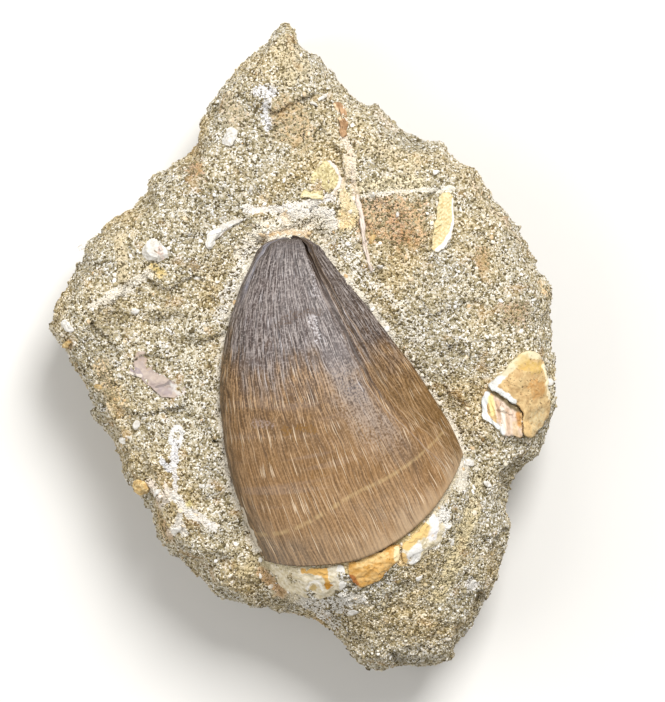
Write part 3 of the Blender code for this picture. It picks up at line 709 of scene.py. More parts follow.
def crown_material():
    """Enamel by place across and along the crown, with a satin gleam: zones, ridges, scratches, and painted
    highlights and shade on its edge, ridges and creases.
    """
    material, tree, shader = new_material("Fossil enamel, satin", 0.48, 0.35)
    place = add(tree, "ShaderNodeAttribute", attribute_name="crown_place").outputs["Vector"]
    across, along, past_keel = add(tree, "ShaderNodeSeparateXYZ", {0: place}).outputs
    solid = add(tree, "ShaderNodeTexCoord").outputs["Object"]
    times = partial(worked, tree, "MULTIPLY")
    plus = partial(worked, tree, "ADD")
    minus = partial(worked, tree, "SUBTRACT")
    span = partial(spread, tree)

    def drawn_out(vector, many, few, detail=1.5):
        """Noise drawn out along the crown: so many streaks across it, so many lengths along it."""
        at = add(tree, "ShaderNodeVectorMath", {0: vector, 1: (many, few, 0.0)}, operation="MULTIPLY")
        return add(tree, "ShaderNodeTexNoise", {"Vector": at.outputs[0], "Scale": 1.0,
                                                "Detail": detail}).outputs["Fac"]

    def centred(value, size):
        return times(minus(value, 0.5), size)

    def blend(share, first, second):
        return add(tree, "ShaderNodeMix", {0: share, 2: first, 3: second}, data_type="FLOAT").outputs[0]

    def band(value, low, full_low, full_high, high):
        """Full between the two middle values, and gone at the outer ones."""
        return times(span(value, low, full_low), span(value, high, full_high))

    def away_from(value, middle):
        return worked(tree, "ABSOLUTE", minus(value, middle))

    def tinted(colour, share, tint):
        return mixed(tree, share, colour, linear(tint))

    wander = centred(drawn_out(place, 8.0, 9.0), 0.03)
    bent = add(tree, "ShaderNodeCombineXYZ", {0: plus(across, wander), 1: along}).outputs[0]
    ragged = plus(along, centred(drawn_out(bent, 40.0, 5.0), 0.16))

    def by_width(patterns):
        """One pattern of one real width all along the crown, so that new lines begin as it widens."""
        upper = blend(span(ragged, 0.14, 0.2), *patterns[:2])
        return blend(span(ragged, 0.42, 0.5), upper, patterns[2])

    ridges = by_width([drawn_out(bent, count, 6.5) for count in RIDGES])
    hairs = by_width([drawn_out(bent, 2.0 * count, 20.0) for count in RIDGES])
    wavy = plus(plus(across, wander), centred(drawn_out(place, 14.0, 9.0), 0.014))
    waves = by_width([worked(tree, "SINE", times(wavy, 2 * math.pi * count)) for count in WAVES])
    ridges = plus(ridges, times(waves, 0.08))
    grain = cloud(tree, solid, 0.35, 2.0)
    # Grey at the tip and brown below, with a ragged edge and a band of painted grey sheen that runs down by
    # the keel.
    grey_sheen_band = band(past_keel, -0.22, -0.14, -0.08, -0.03)
    zone = plus(along, plus(centred(drawn_out(place, 6.0, 14.0), 0.22),
                            centred(drawn_out(bent, 36.0, 9.0), 0.22)))
    zone = minus(zone, times(grey_sheen_band, 0.17))
    zone = plus(zone, span(across, 0.12, 0.02, 0.12))
    base = ramped(tree, zone, (
        (0.0, "#4f4643"), (1.0, "#8e7457"), (0.14, "#554a47"), (0.38, "#594c48"), (0.47, "#5a4635"),
        (0.56, "#5f4427"), (0.68, "#6e4f29"), (0.8, "#825f35"), (0.9, "#876742")))
    flank_colour = ramped(tree, zone, ((0.15, "#493d37"), (0.66, "#70532d"), (0.42, "#4e3b2c")))
    base = mixed(tree, span(past_keel, 0.0, 0.03, 0.9), base, flank_colour)
    # Faint bands across the crown, as its enamel grew, and ochre clouds in its lower half.
    bands = times(span(drawn_out(place, 2.0, 42.0, 0.0), 0.52, 0.66, 0.34),
                  band(along, 0.5, 0.6, 0.82, 0.92))
    base = tinted(base, times(bands, span(across, 0.7, 0.3)), "#8f7c70")
    ochre = times(span(cloud(tree, solid, 4.0), 0.55, 0.68, 0.55), band(along, 0.42, 0.5, 0.72, 0.85))
    base = tinted(base, ochre, "#77541f")
    # The left side: painted shade along its edge where it turns under, a painted bluish highlight and a dark
    # streak of painted shade beside it near the tip, and a grey lower corner.
    base = tinted(base, span(across, 0.08, 0.0, 0.8), "#43321f")
    painted_highlight = times(band(across, 0.02, 0.05, 0.07, 0.1), span(along, 0.3, 0.12, 0.7))
    base = tinted(base, painted_highlight, "#9a9cac")
    shade = times(band(across, 0.09, 0.11, 0.125, 0.15), span(along, 0.28, 0.1, 0.75))
    base = tinted(base, shade, "#362c29")
    corner = times(span(along, 0.92, 0.96, 0.6), span(across, 0.34, 0.1))
    base = tinted(base, corner, "#6b5f50")
    # Painted shade in the grooves between the ridges and painted highlight on their crests, and dark and pale
    # specks in the fine grain, all weaker towards the base.
    upper = span(zone, 0.6, 0.42)
    strength = times(blend(span(along, 0.4, 0.75), 1.0, 0.5), blend(span(along, 0.01, 0.1), 0.7, 1.0))
    dark = mixed(tree, upper, linear("#442f18"), linear("#332a27"))
    pale = mixed(tree, upper, linear("#b3916a"), linear("#9f9590"))
    for pattern, dark_line, pale_line in ((ridges, (0.5, 0.34, 0.85), (0.53, 0.67, 0.65)),
                                          (hairs, (0.48, 0.34, 0.7), (0.53, 0.65, 0.85)),
                                          (grain, (0.47, 0.36, 0.35), (0.53, 0.65, 0.5))):
        base = mixed(tree, times(span(pattern, *dark_line), strength), base, dark)
        base = mixed(tree, times(span(pattern, *pale_line), strength), base, pale)
    scratches = span(drawn_out(bent, 230.0, 11.0, 0.0), 0.7, 0.76, 0.6)
    base = mixed(tree, scratches, base, mixed(tree, upper, linear("#e0cbae"), linear("#c9c3c4")))
    # A painted grey sheen, finely speckled, on the field left of the keel.
    painted_sheen_field = times(band(past_keel, -0.28, -0.18, -0.08, -0.02), band(along, 0.46, 0.56, 0.7, 0.88))
    base = tinted(base, times(painted_sheen_field, span(grain, 0.34, 0.62, 0.6)), "#a08d7c")
    # One faint growth line crosses the crown near its base and dips at its left edge.
    sag = span(across, 0.55, 0.0, 0.075)
    shown = times(span(away_from(along, plus(sag, 0.857)), 0.008, 0.001, 0.32),
                  span(drawn_out(place, 30.0, 30.0), 0.3, 0.6))
    base = tinted(base, shown, "#c2a878")
    # The keel: dark creases of painted shadow in and beside its groove, that widen near the tip, with thin
    # pale lines along them.
    # For each, its place past the keel, its half width, its strength and its colour.
    upper_keel = span(along, 0.85, 0.35)
    at_keel = plus(past_keel, wander)
    widening = blend(span(along, 0.02, 0.3), 3.0, 1.0)
    crease_shadow = "#35271c"
    for middle, width, strength, colour in (
            (-0.006, 0.015, 1.0, crease_shadow), (0.048, 0.012, 0.85, crease_shadow),
            (0.018, 0.004, 0.5, "#ac9072"), (0.032, 0.003, 0.35, "#ac9072"),
            (0.068, 0.004, 0.45, "#a58b70"), (-0.034, 0.004, 0.4, "#ab9a8c")):
        away = away_from(at_keel, middle)
        if colour == crease_shadow:
            away = worked(tree, "DIVIDE", away, widening)
        shown = times(span(away, width, width * 0.3, strength),
                      span(drawn_out(place, 30.0, 12.0), 0.26, 0.5))
        if colour == crease_shadow:
            shown = times(shown, upper_keel)
        base = tinted(base, shown, colour)
    # The pale margin of the base, and the marks painted on the crown.
    margin = times(span(ragged, 0.95, 1.0, 0.55), span(across, 0.2, 0.6))
    base = tinted(base, margin, "#b09676")
    marks = add(tree, "ShaderNodeAttribute", attribute_name="marks")
    shown = plus(marks.outputs["Alpha"], centred(grain, 1.0))
    base = mixed(tree, span(shown, 0.4, 0.7), base, marks.outputs["Color"])
    tree.links.new(base, shader.inputs["Base Color"])
    bumped(tree, shader, plus(ridges, times(hairs, 0.5)), 0.12, 0.8)
    return material


turns = np.concatenate([np.linspace(0, math.pi, ACROSS_FACE, endpoint=False),
                        np.linspace(math.pi, 2 * math.pi, ACROSS_BACK, endpoint=False)])
across = (1 - np.cos(turns)) / 2


def crown_ring(along):
    """One closed ring of the crown: over the visible face, and back under it."""
    alongs = np.full(len(turns), along)
    top = crown_height(alongs) * crown_face(alongs, across)
    past_keel = across - keel_place(alongs)
    fading = math.exp(-along / 0.25)
    keel_bead = 0.2 * np.exp(-(((past_keel - 0.02) / 0.014) ** 2)) * (0.6 + fading)
    groove = 0.9 * fading * np.exp(-(((past_keel + 0.01) / 0.022) ** 2))
    under = crown_height(alongs) * CROWN_DEPTH / CROWN_HEIGHT * np.sin(turns)
    height = np.where(turns <= math.pi, top + keel_bead - groove, under)
    return np.column_stack([crown_plan(alongs, across), CROWN_LEVEL + height])


def shrunk(ring, share, shift):
    """The ring drawn in towards its middle and moved in plan."""
    middle = ring.mean(axis=0)
    return middle + (ring - middle) * share + [*shift, 0.0]


# Powder left on the crown at its lower left edge, painted glints of highlight, and brown, ochre and pinkish
# patches.
CROWN_MARKS = (
    (((-9.9, -26.4), (-9.0, -29.6)), 0.3, "#cdc3b2", 0.9),
    (((-8.7, -30.2), (-7.7, -33.4)), 0.65, "#cdc3b2", 0.9),
    (((-4.2, 3.8), (-1.0, 5.4), (2.6, 5.7)), 0.9, "#4a3626", 0.5),
    # Painted glints of highlight near the crest.
    (((1.6, 4.4), (2.6, 1.8)), 0.9, "#c4bebf", 0.45),
    (((1.0, 14.2), (1.9, 11.2), (2.2, 8.6)), 0.5, "#bab3b4", 0.42),
    (((-2.6, -13.4),), 0.9, "#76531f", 0.6),
    (((-0.4, -12.8), (1.9, -13.4)), 0.8, "#76531f", 0.6),
    (((-7.6, -12.2), (-5.2, -12.6)), 0.9, "#8e7a6e", 0.5),
)
tip, base_ring = crown_ring(0.0), crown_ring(1.0)
TIP_TURNS = np.radians(np.arange(84, 0, -7))
BODY_PLACES = np.linspace(0, 1, ALONG_STEPS)
BASE_SHARES = ((0.985, 0.0), (0.93, 0.0), (0.7, 0.5), (0.35, 1.0))
rings = [shrunk(tip, math.cos(turn), (0.0, TIP_BULGE * math.sin(turn))) for turn in TIP_TURNS]
rings += [crown_ring(along) for along in BODY_PLACES]
rings += [shrunk(base_ring, share, base_way * -BASE_HOLLOW * depth) for share, depth in BASE_SHARES]
places = [*(0.0 for turn in TIP_TURNS), *BODY_PLACES, *(1.0 for share in BASE_SHARES)]
points = closed_rings(rings)
alongs = np.array([*np.repeat(places, len(turns)), 0.0, 1.0])
acrosses = np.array([*np.tile(across, len(rings)), 0.5, 0.5])
crown = made_piece("enamel_crown", points, lofted_faces(len(rings), len(turns)), crown_material(),
                   ["tooth_crown"])
WORN_SHARE = 0.07
worn_tip = smooth((WORN_SHARE - alongs) / WORN_SHARE)
ridge_places = np.column_stack([acrosses * 60, alongs * 6, np.zeros(len(points))])
relief = lumps(points, 0.25, 9.0, 4.1) + lumps(points, 0.06, 2.0, 7.1) + lumps(ridge_places, 0.08, 1.0, 2.2)
relief += worn_tip * (lumps(points, 0.5, 2.4, 5.5) + lumps(points, 0.25, 1.1, 3.3))
NOTCH_WIDTH = 0.03
NOTCH_DEPTH = 0.8
NOTCH_SHARE = 0.05
notch = np.exp(-(((acrosses - KEEL_PLACE) / NOTCH_WIDTH) ** 2)) * (points[:, 2] > CROWN_LEVEL)
relief -= NOTCH_DEPTH * notch * smooth((NOTCH_SHARE - alongs) / NOTCH_SHARE)
points = raised(crown, points, relief)
store(crown.data, "marks", painted(points, CROWN_MARKS))
store(crown.data, "crown_place", np.column_stack([acrosses, alongs, acrosses - keel_place(alongs)]))


# Scraps of shell and bone lie bedded in the face, broken and worn before they were buried. Their
# places and outlines follow the solids; each has its own colour, rim, cracks and grain.
def mottled_material(name, dark, light, roughness, width=0.8, pits=0.5):
    """Mottled bone or shell with pits, under the marks painted on the piece."""
    material, tree, shader = new_material(name, roughness, 0.3)
    place = add(tree, "ShaderNodeTexCoord").outputs["Object"]
    mottle = cloud(tree, place, width, 5.0)
    colour = mixed(tree, spread(tree, mottle, 0.33, 0.67), linear(dark), linear(light))
    marks = add(tree, "ShaderNodeAttribute", attribute_name="marks")
    speck = cloud(tree, place, 0.5)
    cover = worked(tree, "ADD", marks.outputs["Alpha"], worked(tree, "SUBTRACT", speck, 0.5))
    pit = spread(tree, cloud(tree, place, 0.34, 2.0), 0.38, 0.3, pits)
    colour = mixed(tree, pit, colour, linear("#6d5334"))
    colour = mixed(tree, spread(tree, cover, 0.3, 0.7), colour, marks.outputs["Color"])
    tree.links.new(colour, shader.inputs["Base Color"])
    height = worked(tree, "SUBTRACT", mottle, worked(tree, "MULTIPLY", pit, 0.6))
    bumped(tree, shader, height, 0.13)
    return material


ochre_bone = mottled_material("Ochre bone, porous", "#c8964c", "#dcb474", 0.75, 1.0, 0.4)
pale_bone = mottled_material("Pale bone, chalky", "#cabc9a", "#e6dcc6", 0.85, 0.8, 0.3)
sandy_bone = mottled_material("Yellowish bone, sandy", "#a8986a", "#e0d3a6", 0.85, 0.4, 0.8)
tan_bone = mottled_material("Tan bone, sandy", "#b3925c", "#dcc490", 0.8, 0.6, 0.6)
orange_shell = mottled_material("Orange shell, pitted", "#b69566", "#d2b684", 0.7, 0.9, 0.8)
yellow_shell = mottled_material("Yellow shell, smooth", "#c6af7c", "#dbcfa6", 0.6, 0.4, 0.2)
white_shell = mottled_material("White shell, chalky", "#c9c3b8", "#e2dfd9", 0.6, 0.8, 0.25)
pink_shell = mottled_material("Pink shell, thin", "#9a8a84", "#b9a99c", 0.6, 1.2, 0.15)
rust_bone = mottled_material("Rust-stained bone", "#8c6a48", "#bf9a74", 0.75)
# Each broad piece: outline, material, slot, rise of its middle and its rim, depth, and its marks.
BROAD_PIECES = {
    "root_bone_ochre": (
        ((7.6, -35.0), (9.7, -34.2), (12.3, -33.2), (14.6, -32.1), (15.8, -31.9), (15.8, -33.8),
         (14.7, -35.5), (12.3, -37.9), (10.0, -38.9), (8.1, -37.9)),
        ochre_bone, "ochre_bone", 0.6, 0.5, 3.0, (
            (((8.0, -37.4), (8.8, -38.3)), 0.5, "#b0713a", 0.8),
            (((15.3, -32.6), (15.4, -34.0)), 0.45, "#e6d3a6", 0.9),
            (((9.5, -35.0), (13.5, -33.6)), 0.8, "#e3c184", 0.6))),
    "root_bone_pale": (
        ((-5.4, -35.6), (-2.8, -35.8), (0.4, -35.8), (3.7, -35.7), (6.5, -35.3), (7.2, -37.0),
         (7.1, -38.8), (5.3, -40.2), (2.5, -41.1), (-0.4, -40.8), (-3.0, -39.8), (-5.0, -37.9)),
        pale_bone, "pale_bone", 0.4, 0.3, 3.0, (
            (((0.2, -36.3), (3.7, -36.4)), 0.5, "#d8ab62", 0.9),
            (((3.6, -36.6), (4.2, -38.6)), 0.45, "#d8ab62", 0.85),
            (((4.2, -38.8),), 0.6, "#c98e34", 0.95),
            (((6.2, -36.2), (6.7, -38.6)), 0.7, "#ebe7df", 0.95),
            (((0.5, -39.9), (1.3, -38.3), (2.6, -38.0), (3.3, -39.4)), 0.22, "#ece6da", 0.9),
            (((1.7, -39.2),), 0.6, "#cbb27c", 0.8))),
    "root_bone_right": (
        ((16.3, -32.1), (17.4, -31.0), (19.2, -29.4), (20.2, -28.0), (21.4, -26.5), (22.5, -27.4),
         (23.2, -29.6), (22.5, -31.8), (20.8, -32.7), (19.3, -34.3), (17.8, -35.4), (16.5, -34.5)),
        pale_bone, "pale_bone", 0.6, 0.3, 3.0, (
            (((17.8, -34.2), (18.7, -32.6)), 1.0, "#ebe8e2", 0.95),
            (((21.6, -27.9), (21.2, -30.4)), 0.8, "#e4dfdc", 0.9),
            (((16.8, -32.1), (19.9, -29.3)), 0.8, "#dcbc7c", 0.9),
            (((16.4, -33.6), (16.7, -34.6)), 0.4, "#dfbb7c", 0.8))),
    "shell_plate_upper": (
        ((30.6, -6.37), (31.8, -5.0), (32.9, -3.8), (34.2, -2.5), (35.5, -1.4), (37.2, -0.5),
         (38.5, -0.6), (39.4, -1.5), (40.0, -3.0), (40.5, -4.8), (40.8, -6.5), (41.1, -8.3),
         (41.0, -10.1), (40.4, -11.9), (39.3, -13.4), (38.0, -14.7), (36.7, -14.6), (36.3, -12.6),
         (36.1, -10.2), (34.7, -9.1), (32.6, -7.6)),
        orange_shell, "orange_shell", 1.5, 1.2, 1.0, (
            (((31.3, -6.2), (32.2, -5.0), (33.3, -4.0)), 0.85, "#dad9d3", 0.95),
            (((33.3, -4.0), (35.4, -2.2), (37.2, -1.1), (38.6, -1.2)), 0.8, "#d6cba8", 0.85),
            (((31.1, -6.5), (32.9, -7.6), (34.6, -8.8)), 0.6, "#dbddda", 0.95),
            (((38.2, -5.9), (39.3, -6.6), (38.4, -7.6)), 1.1, "#c0935a", 0.6),
            (((36.6, -2.6), (38.6, -3.4)), 1.2, "#c8a864", 0.6),
            (((39.8, -2.8), (40.4, -5.2), (40.9, -8.4)), 0.28, "#ebdcb8", 0.8),
            (((38.9, -10.8), (38.2, -13.6)), 1.5, "#cdbb92", 0.5),
            (((36.9, -12.5), (37.3, -14.4)), 0.6, "#e0be86", 0.6))),
    "shell_plate_lower": (
        ((30.6, -6.5), (32.6, -7.7), (34.7, -9.2), (36.0, -10.3), (36.2, -12.6), (36.2, -14.7),
         (34.6, -14.4), (33.3, -14.5), (32.3, -13.7), (31.1, -12.4), (30.2, -11.9), (29.6, -11.0),
         (29.5, -9.7), (29.8, -7.9)),
        orange_shell, "orange_shell", 0.7, 0.55, 1.6, (
            (((32.8, -8.8), (34.0, -13.4)), 2.0, "#dac4b0", 0.8),
            (((30.5, -7.6), (29.9, -9.4), (30.0, -11.2), (31.2, -12.4), (32.8, -13.9)), 0.55, "#dcdfdd", 1.0),
            (((31.0, -8.2), (31.3, -10.8)), 0.5, "#e0cc90", 0.85),
            (((32.0, -8.8), (32.5, -12.0)), 0.3, "#b99a7c", 0.6),
            (((33.6, -10.2), (34.0, -14.0)), 0.3, "#b99a7c", 0.5),
            (((32.9, -10.2), (33.2, -13.4)), 0.3, "#e8dccb", 0.8),
            # Painted shadow along the lower plate's upper edge, where the upper plate overhangs it.
            (((30.8, -6.9), (32.8, -8.1), (35.8, -10.4)), 0.42, "#75664a", 1.0),
            (((35.5, -10.9), (35.7, -12.6)), 0.35, "#c08e54", 0.7),
            (((34.9, -12.4), (35.2, -14.4)), 0.4, "#d9bd94", 0.6))),
    "yellow_shell": (
        ((22.6, 25.3), (24.6, 25.3), (25.0, 22.5), (24.9, 21.1), (24.6, 18.7), (24.0, 17.4),
         (22.8, 16.1), (21.9, 15.8), (21.2, 16.7), (21.7, 20.0), (22.2, 22.8)),
        yellow_shell, "yellow_shell", 0.5, 0.6, 2.0, (
            (((24.8, 24.6), (24.8, 21.2), (24.4, 18.8)), 0.24, "#e8e2d6", 0.95),
            (((24.3, 18.8), (23.4, 17.0), (22.2, 16.1)), 0.45, "#e8e2d6", 0.9),
            (((23.4, 24.8), (23.3, 22.6)), 0.7, "#cfae70", 0.35))),
    "white_shell_cup": (
        ((-26.3, 16.8), (-25.4, 17.8), (-24.0, 17.9), (-22.9, 16.9), (-22.1, 15.4), (-23.3, 14.4),
         (-25.2, 14.4), (-26.4, 15.2)),
        white_shell, "white_shell", 1.0, 0.3, 1.6, (
            (((-24.4, 16.0), (-23.6, 15.5), (-23.0, 15.5)), 0.09, "#8d7c66", 0.8),
            (((-23.5, 16.4), (-23.2, 15.0)), 0.4, "#d8c3b6", 0.6))),
    "bone_chip": (
        ((-0.4, 24.9), (0.2, 26.0), (1.2, 27.0), (1.5, 28.5), (2.5, 29.7), (3.5, 30.8), (4.5, 31.0),
         (5.5, 30.0), (6.3, 28.5), (6.6, 27.7), (6.1, 26.5), (5.3, 25.7), (4.5, 24.7), (3.2, 24.5),
         (1.5, 24.7)),
        sandy_bone, "pale_bone", 0.25, 0.25, 1.8, (
            (((4.3, 31.0), (5.6, 29.6), (6.4, 28.1), (6.1, 26.8), (4.8, 25.2), (3.6, 24.6)), 0.3,
             "#dccfc4", 1.0),
            (((0.4, 25.2), (3.0, 25.0)), 0.4, "#e2d8b4", 0.6))),
    "tan_pebble": (
        ((-28.2, -22.6), (-27.4, -21.9), (-26.2, -22.2), (-25.6, -23.3), (-26.4, -24.3), (-27.8, -24.1)),
        tan_bone, "ochre_bone", 1.0, 0.3, 1.6, ()),
    "white_chip_top": (
        ((-13.2, 34.5), (-12.2, 36.3), (-11.2, 36.3), (-10.9, 35.1), (-11.9, 33.3), (-12.9, 33.6)),
        white_shell, "white_shell", 0.7, 0.3, 1.5, ()),
    "pink_shell": (
        ((-30.2, -3.3), (-28.9, -3.0), (-28.4, -2.3), (-27.9, -1.5), (-27.2, -0.7), (-26.3, -0.5),
         (-25.3, -0.8), (-25.1, -2.0), (-25.1, -3.3), (-24.3, -4.1), (-23.3, -4.5), (-22.1, -5.1),
         (-20.8, -5.8), (-19.5, -6.5), (-19.6, -7.6), (-20.8, -8.1), (-22.1, -8.1), (-23.3, -7.9),
         (-24.4, -7.1), (-25.3, -6.3), (-26.1, -5.8), (-26.9, -5.0), (-27.9, -4.6), (-29.1, -4.1)),
        pink_shell, "pink_shell", 0.35, 0.2, 1.8, (
            (((-27.2, -1.2), (-25.6, -1.4), (-25.6, -3.0)), 0.8, "#aa9682", 0.5),
            (((-28.6, -3.0), (-27.4, -4.0)), 0.7, "#94878a", 0.6),
            (((-29.8, -3.4), (-28.2, -4.2), (-26.9, -4.7)), 0.2, "#d3c8bc", 0.8),
            (((-24.4, -4.8), (-22.6, -5.2)), 0.6, "#b5a496", 0.5),
            (((-24.2, -6.4), (-23.0, -6.2), (-21.9, -5.6)), 0.25, "#7d716c", 0.8),
            (((-23.2, -7.0), (-22.0, -7.4)), 0.6, "#9f908e", 0.6),
            (((-20.6, -6.6), (-20.2, -7.4)), 0.8, "#c2bdb6", 0.7))),
}
# Each narrow piece: its middle line and its width at both ends, then the same.
NARROW_PIECES = {
    "curved_white_shell": (
        ((-15.5, 16.4), (-15.0, 18.4), (-12.6, 20.2), (-9.9, 21.2)), (2.1, 1.0),
        white_shell, "white_shell", 0.6, 0.3, 1.6, (
            (((-14.2, 17.6), (-12.2, 19.6)), 0.2, "#b9a48c", 0.6),)),
    "rust_sliver": (((5.6, 40.8), (6.5, 38.8), (6.9, 34.8)), (1.7, 1.3), rust_bone, "rust_shell", 0.4, 0.2,
                    1.6, ((((5.2, 40.2), (6.2, 38.0)), 0.4, "#d9c09c", 0.7),)),
    "long_shell_sliver": (
        ((8.9, 25.4), (9.7, 21.6), (10.2, 17.4), (11.2, 12.8)), (0.8, 0.75),
        pink_shell, "white_shell", 0.5, 0.3, 1.6, (
            (((8.9, 25.4), (9.7, 21.6), (10.2, 17.4), (11.2, 12.8)), 0.4, "#dccdbf", 0.8),)),
    "white_chip_left": (((-40.1, 4.4), (-39.2, 3.8), (-38.0, 2.6)), (1.2, 1.2),
                        white_shell, "white_shell", 0.6, 0.3, 1.5, ()),
}
PIECE_POINTS = 150
SHARES = (1.0, 0.985, 0.96, 0.93, *np.linspace(0.89, 0.05, 22))
# Fine ribs of two pieces: their spacing, height and direction in degrees from +X.
RIBS = {"shell_plate_lower": (0.8, 0.1, 108), "yellow_shell": (0.5, 0.04, 40)}


def broad_ring(line, share, count=PIECE_POINTS):
    """The outline of a broad piece, drawn in to a share of its size."""
    rim = closed_curve(line, count)
    return rim.mean(axis=0) + (rim - rim.mean(axis=0)) * share


def narrow_ring(line, width, share):
    """The outline of a narrow piece with rounded ends, drawn in to a share of its width."""
    line = np.array(line)
    turn = 2 * math.pi * (np.arange(PIECE_POINTS) + 0.5) / PIECE_POINTS
    t = (0.5 - 0.5 * np.cos(turn) * (0.8 + 0.2 * share)) * (len(line) - 1)
    spots = np.arange(len(line))
    middle, ahead, behind = (np.column_stack([np.interp(t + step, spots, line[:, k]) for k in (0, 1)])
                             for step in (0.0, 0.4, -0.4))
    way = (ahead - behind) / np.linalg.norm(ahead - behind, axis=1)[:, None]
    width = np.interp(t, (0, len(line) - 1), width)
    half = np.sign(np.sin(turn)) * np.abs(np.sin(turn)) ** 0.6 * width / 2 * share
    return middle + np.column_stack([-way[:, 1], way[:, 0]]) * half[:, None]


def bedded_points(ring_at, middle_rise, rim_rise, depth, shares=SHARES):
    """Rings of a thin worn piece that follows the face, from its hidden back over its rim to its middle."""
    rim = ring_at(1.0)
    floor = surface(rim).min() - depth
    rings = [np.column_stack([ring_at(0.88), np.full(len(rim), floor)]),
             np.column_stack([rim, np.full(len(rim), floor + 0.3)])]
    for share in shares:
        ring = ring_at(share)
        bevel = min(1.0, (1 - share) / 0.05)
        rise = rim_rise * (0.75 + 0.25 * math.sin(bevel * math.pi / 2))
        rise += (middle_rise - rim_rise) * smooth((1 - share) / 0.5)
        rings.append(np.column_stack([ring, surface(ring) + rise]))
    points = closed_rings(rings)
    wear = np.column_stack([lumps(points, 0.3, 1.3, 2.0) + lumps(points, 0.15, 0.5, 5.0),
                            lumps(points, 0.3, 1.3, 4.0) + lumps(points, 0.15, 0.5, 9.0),
                            lumps(points, 0.35, 2.0, 6.0) + lumps(points, 0.12, 0.5, 8.0)])
    return points + wear


def ribbed(points, spacing, height, degrees):
    """The points with fine ribs that run at this angle from +X."""
    turn = math.radians(degrees)
    over = points[:, 1] * math.cos(turn) - points[:, 0] * math.sin(turn) + lumps(points, 0.25, 2.0, 3.0)
    points[:, 2] += height * np.sin(over * 2 * math.pi / spacing)
    return points


def bedded_piece(name, ring_at, material, slot, middle_rise, rim_rise, depth, marks):
    """One piece over its solid, with its ribs and its painted marks."""
    points = bedded_points(ring_at, middle_rise, rim_rise, depth)
    if name in RIBS:
        points = ribbed(points, *RIBS[name])
    piece = made_piece(name + "_detail", points, lofted_faces(len(SHARES) + 2, PIECE_POINTS), material,
                       [name])
    store(piece.data, "marks", painted(points, marks))


for name, (line, *rest) in BROAD_PIECES.items():
    bedded_piece(name, lambda share: broad_ring(line, share), *rest)
for name, (line, width, *rest) in NARROW_PIECES.items():
    bedded_piece(name, lambda share: narrow_ring(line, width, share), *rest)

# Shards too small for solids of their own: place, length, width and turn of each in plan.
WHITE_SHARDS = (
    (-36.7, 16.8, 1.7, 0.8, 40), (-27.7, 6.1, 1.5, 1.1, 10), (-21.9, 2.8, 2.0, 0.6, -30),
    (-30.5, -4.5, 1.7, 0.7, -25), (-27.5, -12.7, 1.5, 1.1, 60), (-29.4, -15.2, 2.1, 1.1, 20),
    (-26.2, -11.7, 1.0, 0.5, 0), (-20.9, -30.1, 2.2, 0.9, 30), (-16.2, -22.7, 2.2, 0.6, 12),
    (19.0, -37.6, 1.4, 1.0, 35), (27.8, -39.1, 1.5, 1.1, 70), (27.4, -18.9, 1.7, 1.0, -20),
    (22.7, -27.6, 1.6, 1.0, 60), (8.3, -43.4, 1.9, 1.0, 10), (22.0, 29.0, 1.1, 0.8, 0),
    (3.3, 41.5, 1.8, 0.6, 30), (1.8, 40.3, 1.6, 0.5, -30),
    (12.7, 13.4, 0.9, 0.7, 0), (15.6, 22.0, 1.0, 0.6, 80), (-2.0, 28.6, 0.9, 0.8, 0),
    (-8.6, 26.1, 1.0, 0.8, 45), (-13.0, 21.5, 1.2, 0.6, 20), (41.0, -5.6, 1.2, 1.0, 80),
    (-24.2, -23.9, 1.6, 0.8, 50), (30.5, -22.5, 1.4, 0.8, -30), (24.4, -31.8, 1.3, 0.8, 70),
)
TAN_SHARDS = (
    (11.4, 18.0, 1.9, 0.8, 50), (-39.3, 0.6, 1.5, 0.9, 30), (-34.0, -6.5, 1.2, 0.8, 0),
)
SHARD_CORNERS = 7
SHARD_POINTS = 50
SHARD_SHARES = SHARES[::2]


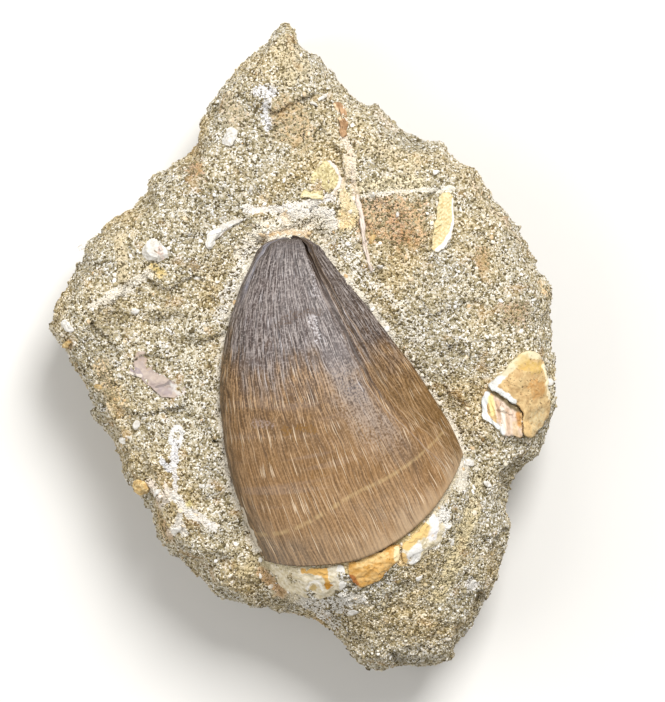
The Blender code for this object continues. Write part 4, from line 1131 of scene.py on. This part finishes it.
def shard_mesh(name, shards, material):
    """Small broken plates in one mesh, each bedded in the face."""
    draw = random.Random(name)
    points = []
    faces = []
    for x, y, long, wide, degrees in shards:
        turn = math.radians(degrees)
        corners = []
        for k in range(SHARD_CORNERS):
            step = 2 * math.pi * (k + draw.uniform(-0.25, 0.25)) / SHARD_CORNERS
            u, v = math.cos(step) * long / 2, math.sin(step) * wide / 2
            corners.append((x + u * math.cos(turn) - v * math.sin(turn),
                            y + u * math.sin(turn) + v * math.cos(turn)))
        start = sum(len(part) for part in points)
        points.append(bedded_points(lambda share: broad_ring(corners, share, SHARD_POINTS),
                                    0.5, 0.35, 0.6, SHARD_SHARES))
        faces += [[start + corner for corner in face]
                  for face in lofted_faces(len(SHARD_SHARES) + 2, SHARD_POINTS)]
    points = np.vstack(points)
    piece = made_piece(name, points, faces, material)
    store(piece.data, "marks", painted(points, ()))


shard_mesh("white_shell_shards", WHITE_SHARDS, white_shell)
shard_mesh("tan_bone_shards", TAN_SHARDS, tan_bone)


# A plain pale floor, a large soft light above the tip's side, a weaker one from the left, and pale
# air all round, as in a small photo tent.
floor_material, tree, shader = new_material("Pale matt floor", 0.9, 0.2)
shader.inputs["Base Color"].default_value = linear("#dedcd8")
floor_mesh = bpy.data.meshes.new("floor")
floor_mesh.from_pydata([(-2, -2, 0), (2, -2, 0), (2, 2, 0), (-2, 2, 0)], [], [(0, 1, 2, 3)])
floor_mesh.materials.append(floor_material)
floor = new_object("floor", floor_mesh)

world = bpy.data.worlds.new("Pale air")
bpy.context.scene.world = world
world.use_nodes = True
air = world.node_tree.nodes["Background"].inputs
air["Color"].default_value = (1.0, 0.99, 0.97, 1.0)
air["Strength"].default_value = 0.38


def soft_light(name, place, size, watts):
    """A square light that faces the middle of the block."""
    data = bpy.data.lights.new(name, "AREA")
    data.size = size
    data.energy = watts
    lamp = new_object(name, data)
    lamp.location = place
    lamp.rotation_euler = (-lamp.location).to_track_quat("-Z", "Y").to_euler()


soft_light("key light", (0.2, 0.44, 0.72), 0.35, 9.0)
soft_light("fill light", (-0.6, -0.1, 0.6), 0.6, 3.0)

# The camera looks straight down on the face. The photograph shows 110.8 mm by 117 mm of it.
LENS = 180.0
SENSOR = 36.0
VIEW_LENGTH = 117.0
VIEW_MIDDLE = (4.9, -0.5)
VIEW_LEVEL = 21.0
camera_data = bpy.data.cameras.new("camera")
camera_data.lens = LENS
camera_data.sensor_width = SENSOR
camera_data.clip_end = 10.0
camera = new_object("camera", camera_data)
distance = VIEW_LENGTH * LENS / SENSOR
camera.location = ((VIEW_MIDDLE[0] - plan_middle[0]) * MM, (VIEW_MIDDLE[1] - plan_middle[1]) * MM,
                   (VIEW_LEVEL + distance) * MM)
bpy.context.scene.camera = camera
bpy.context.scene.view_settings.view_transform = "Standard"
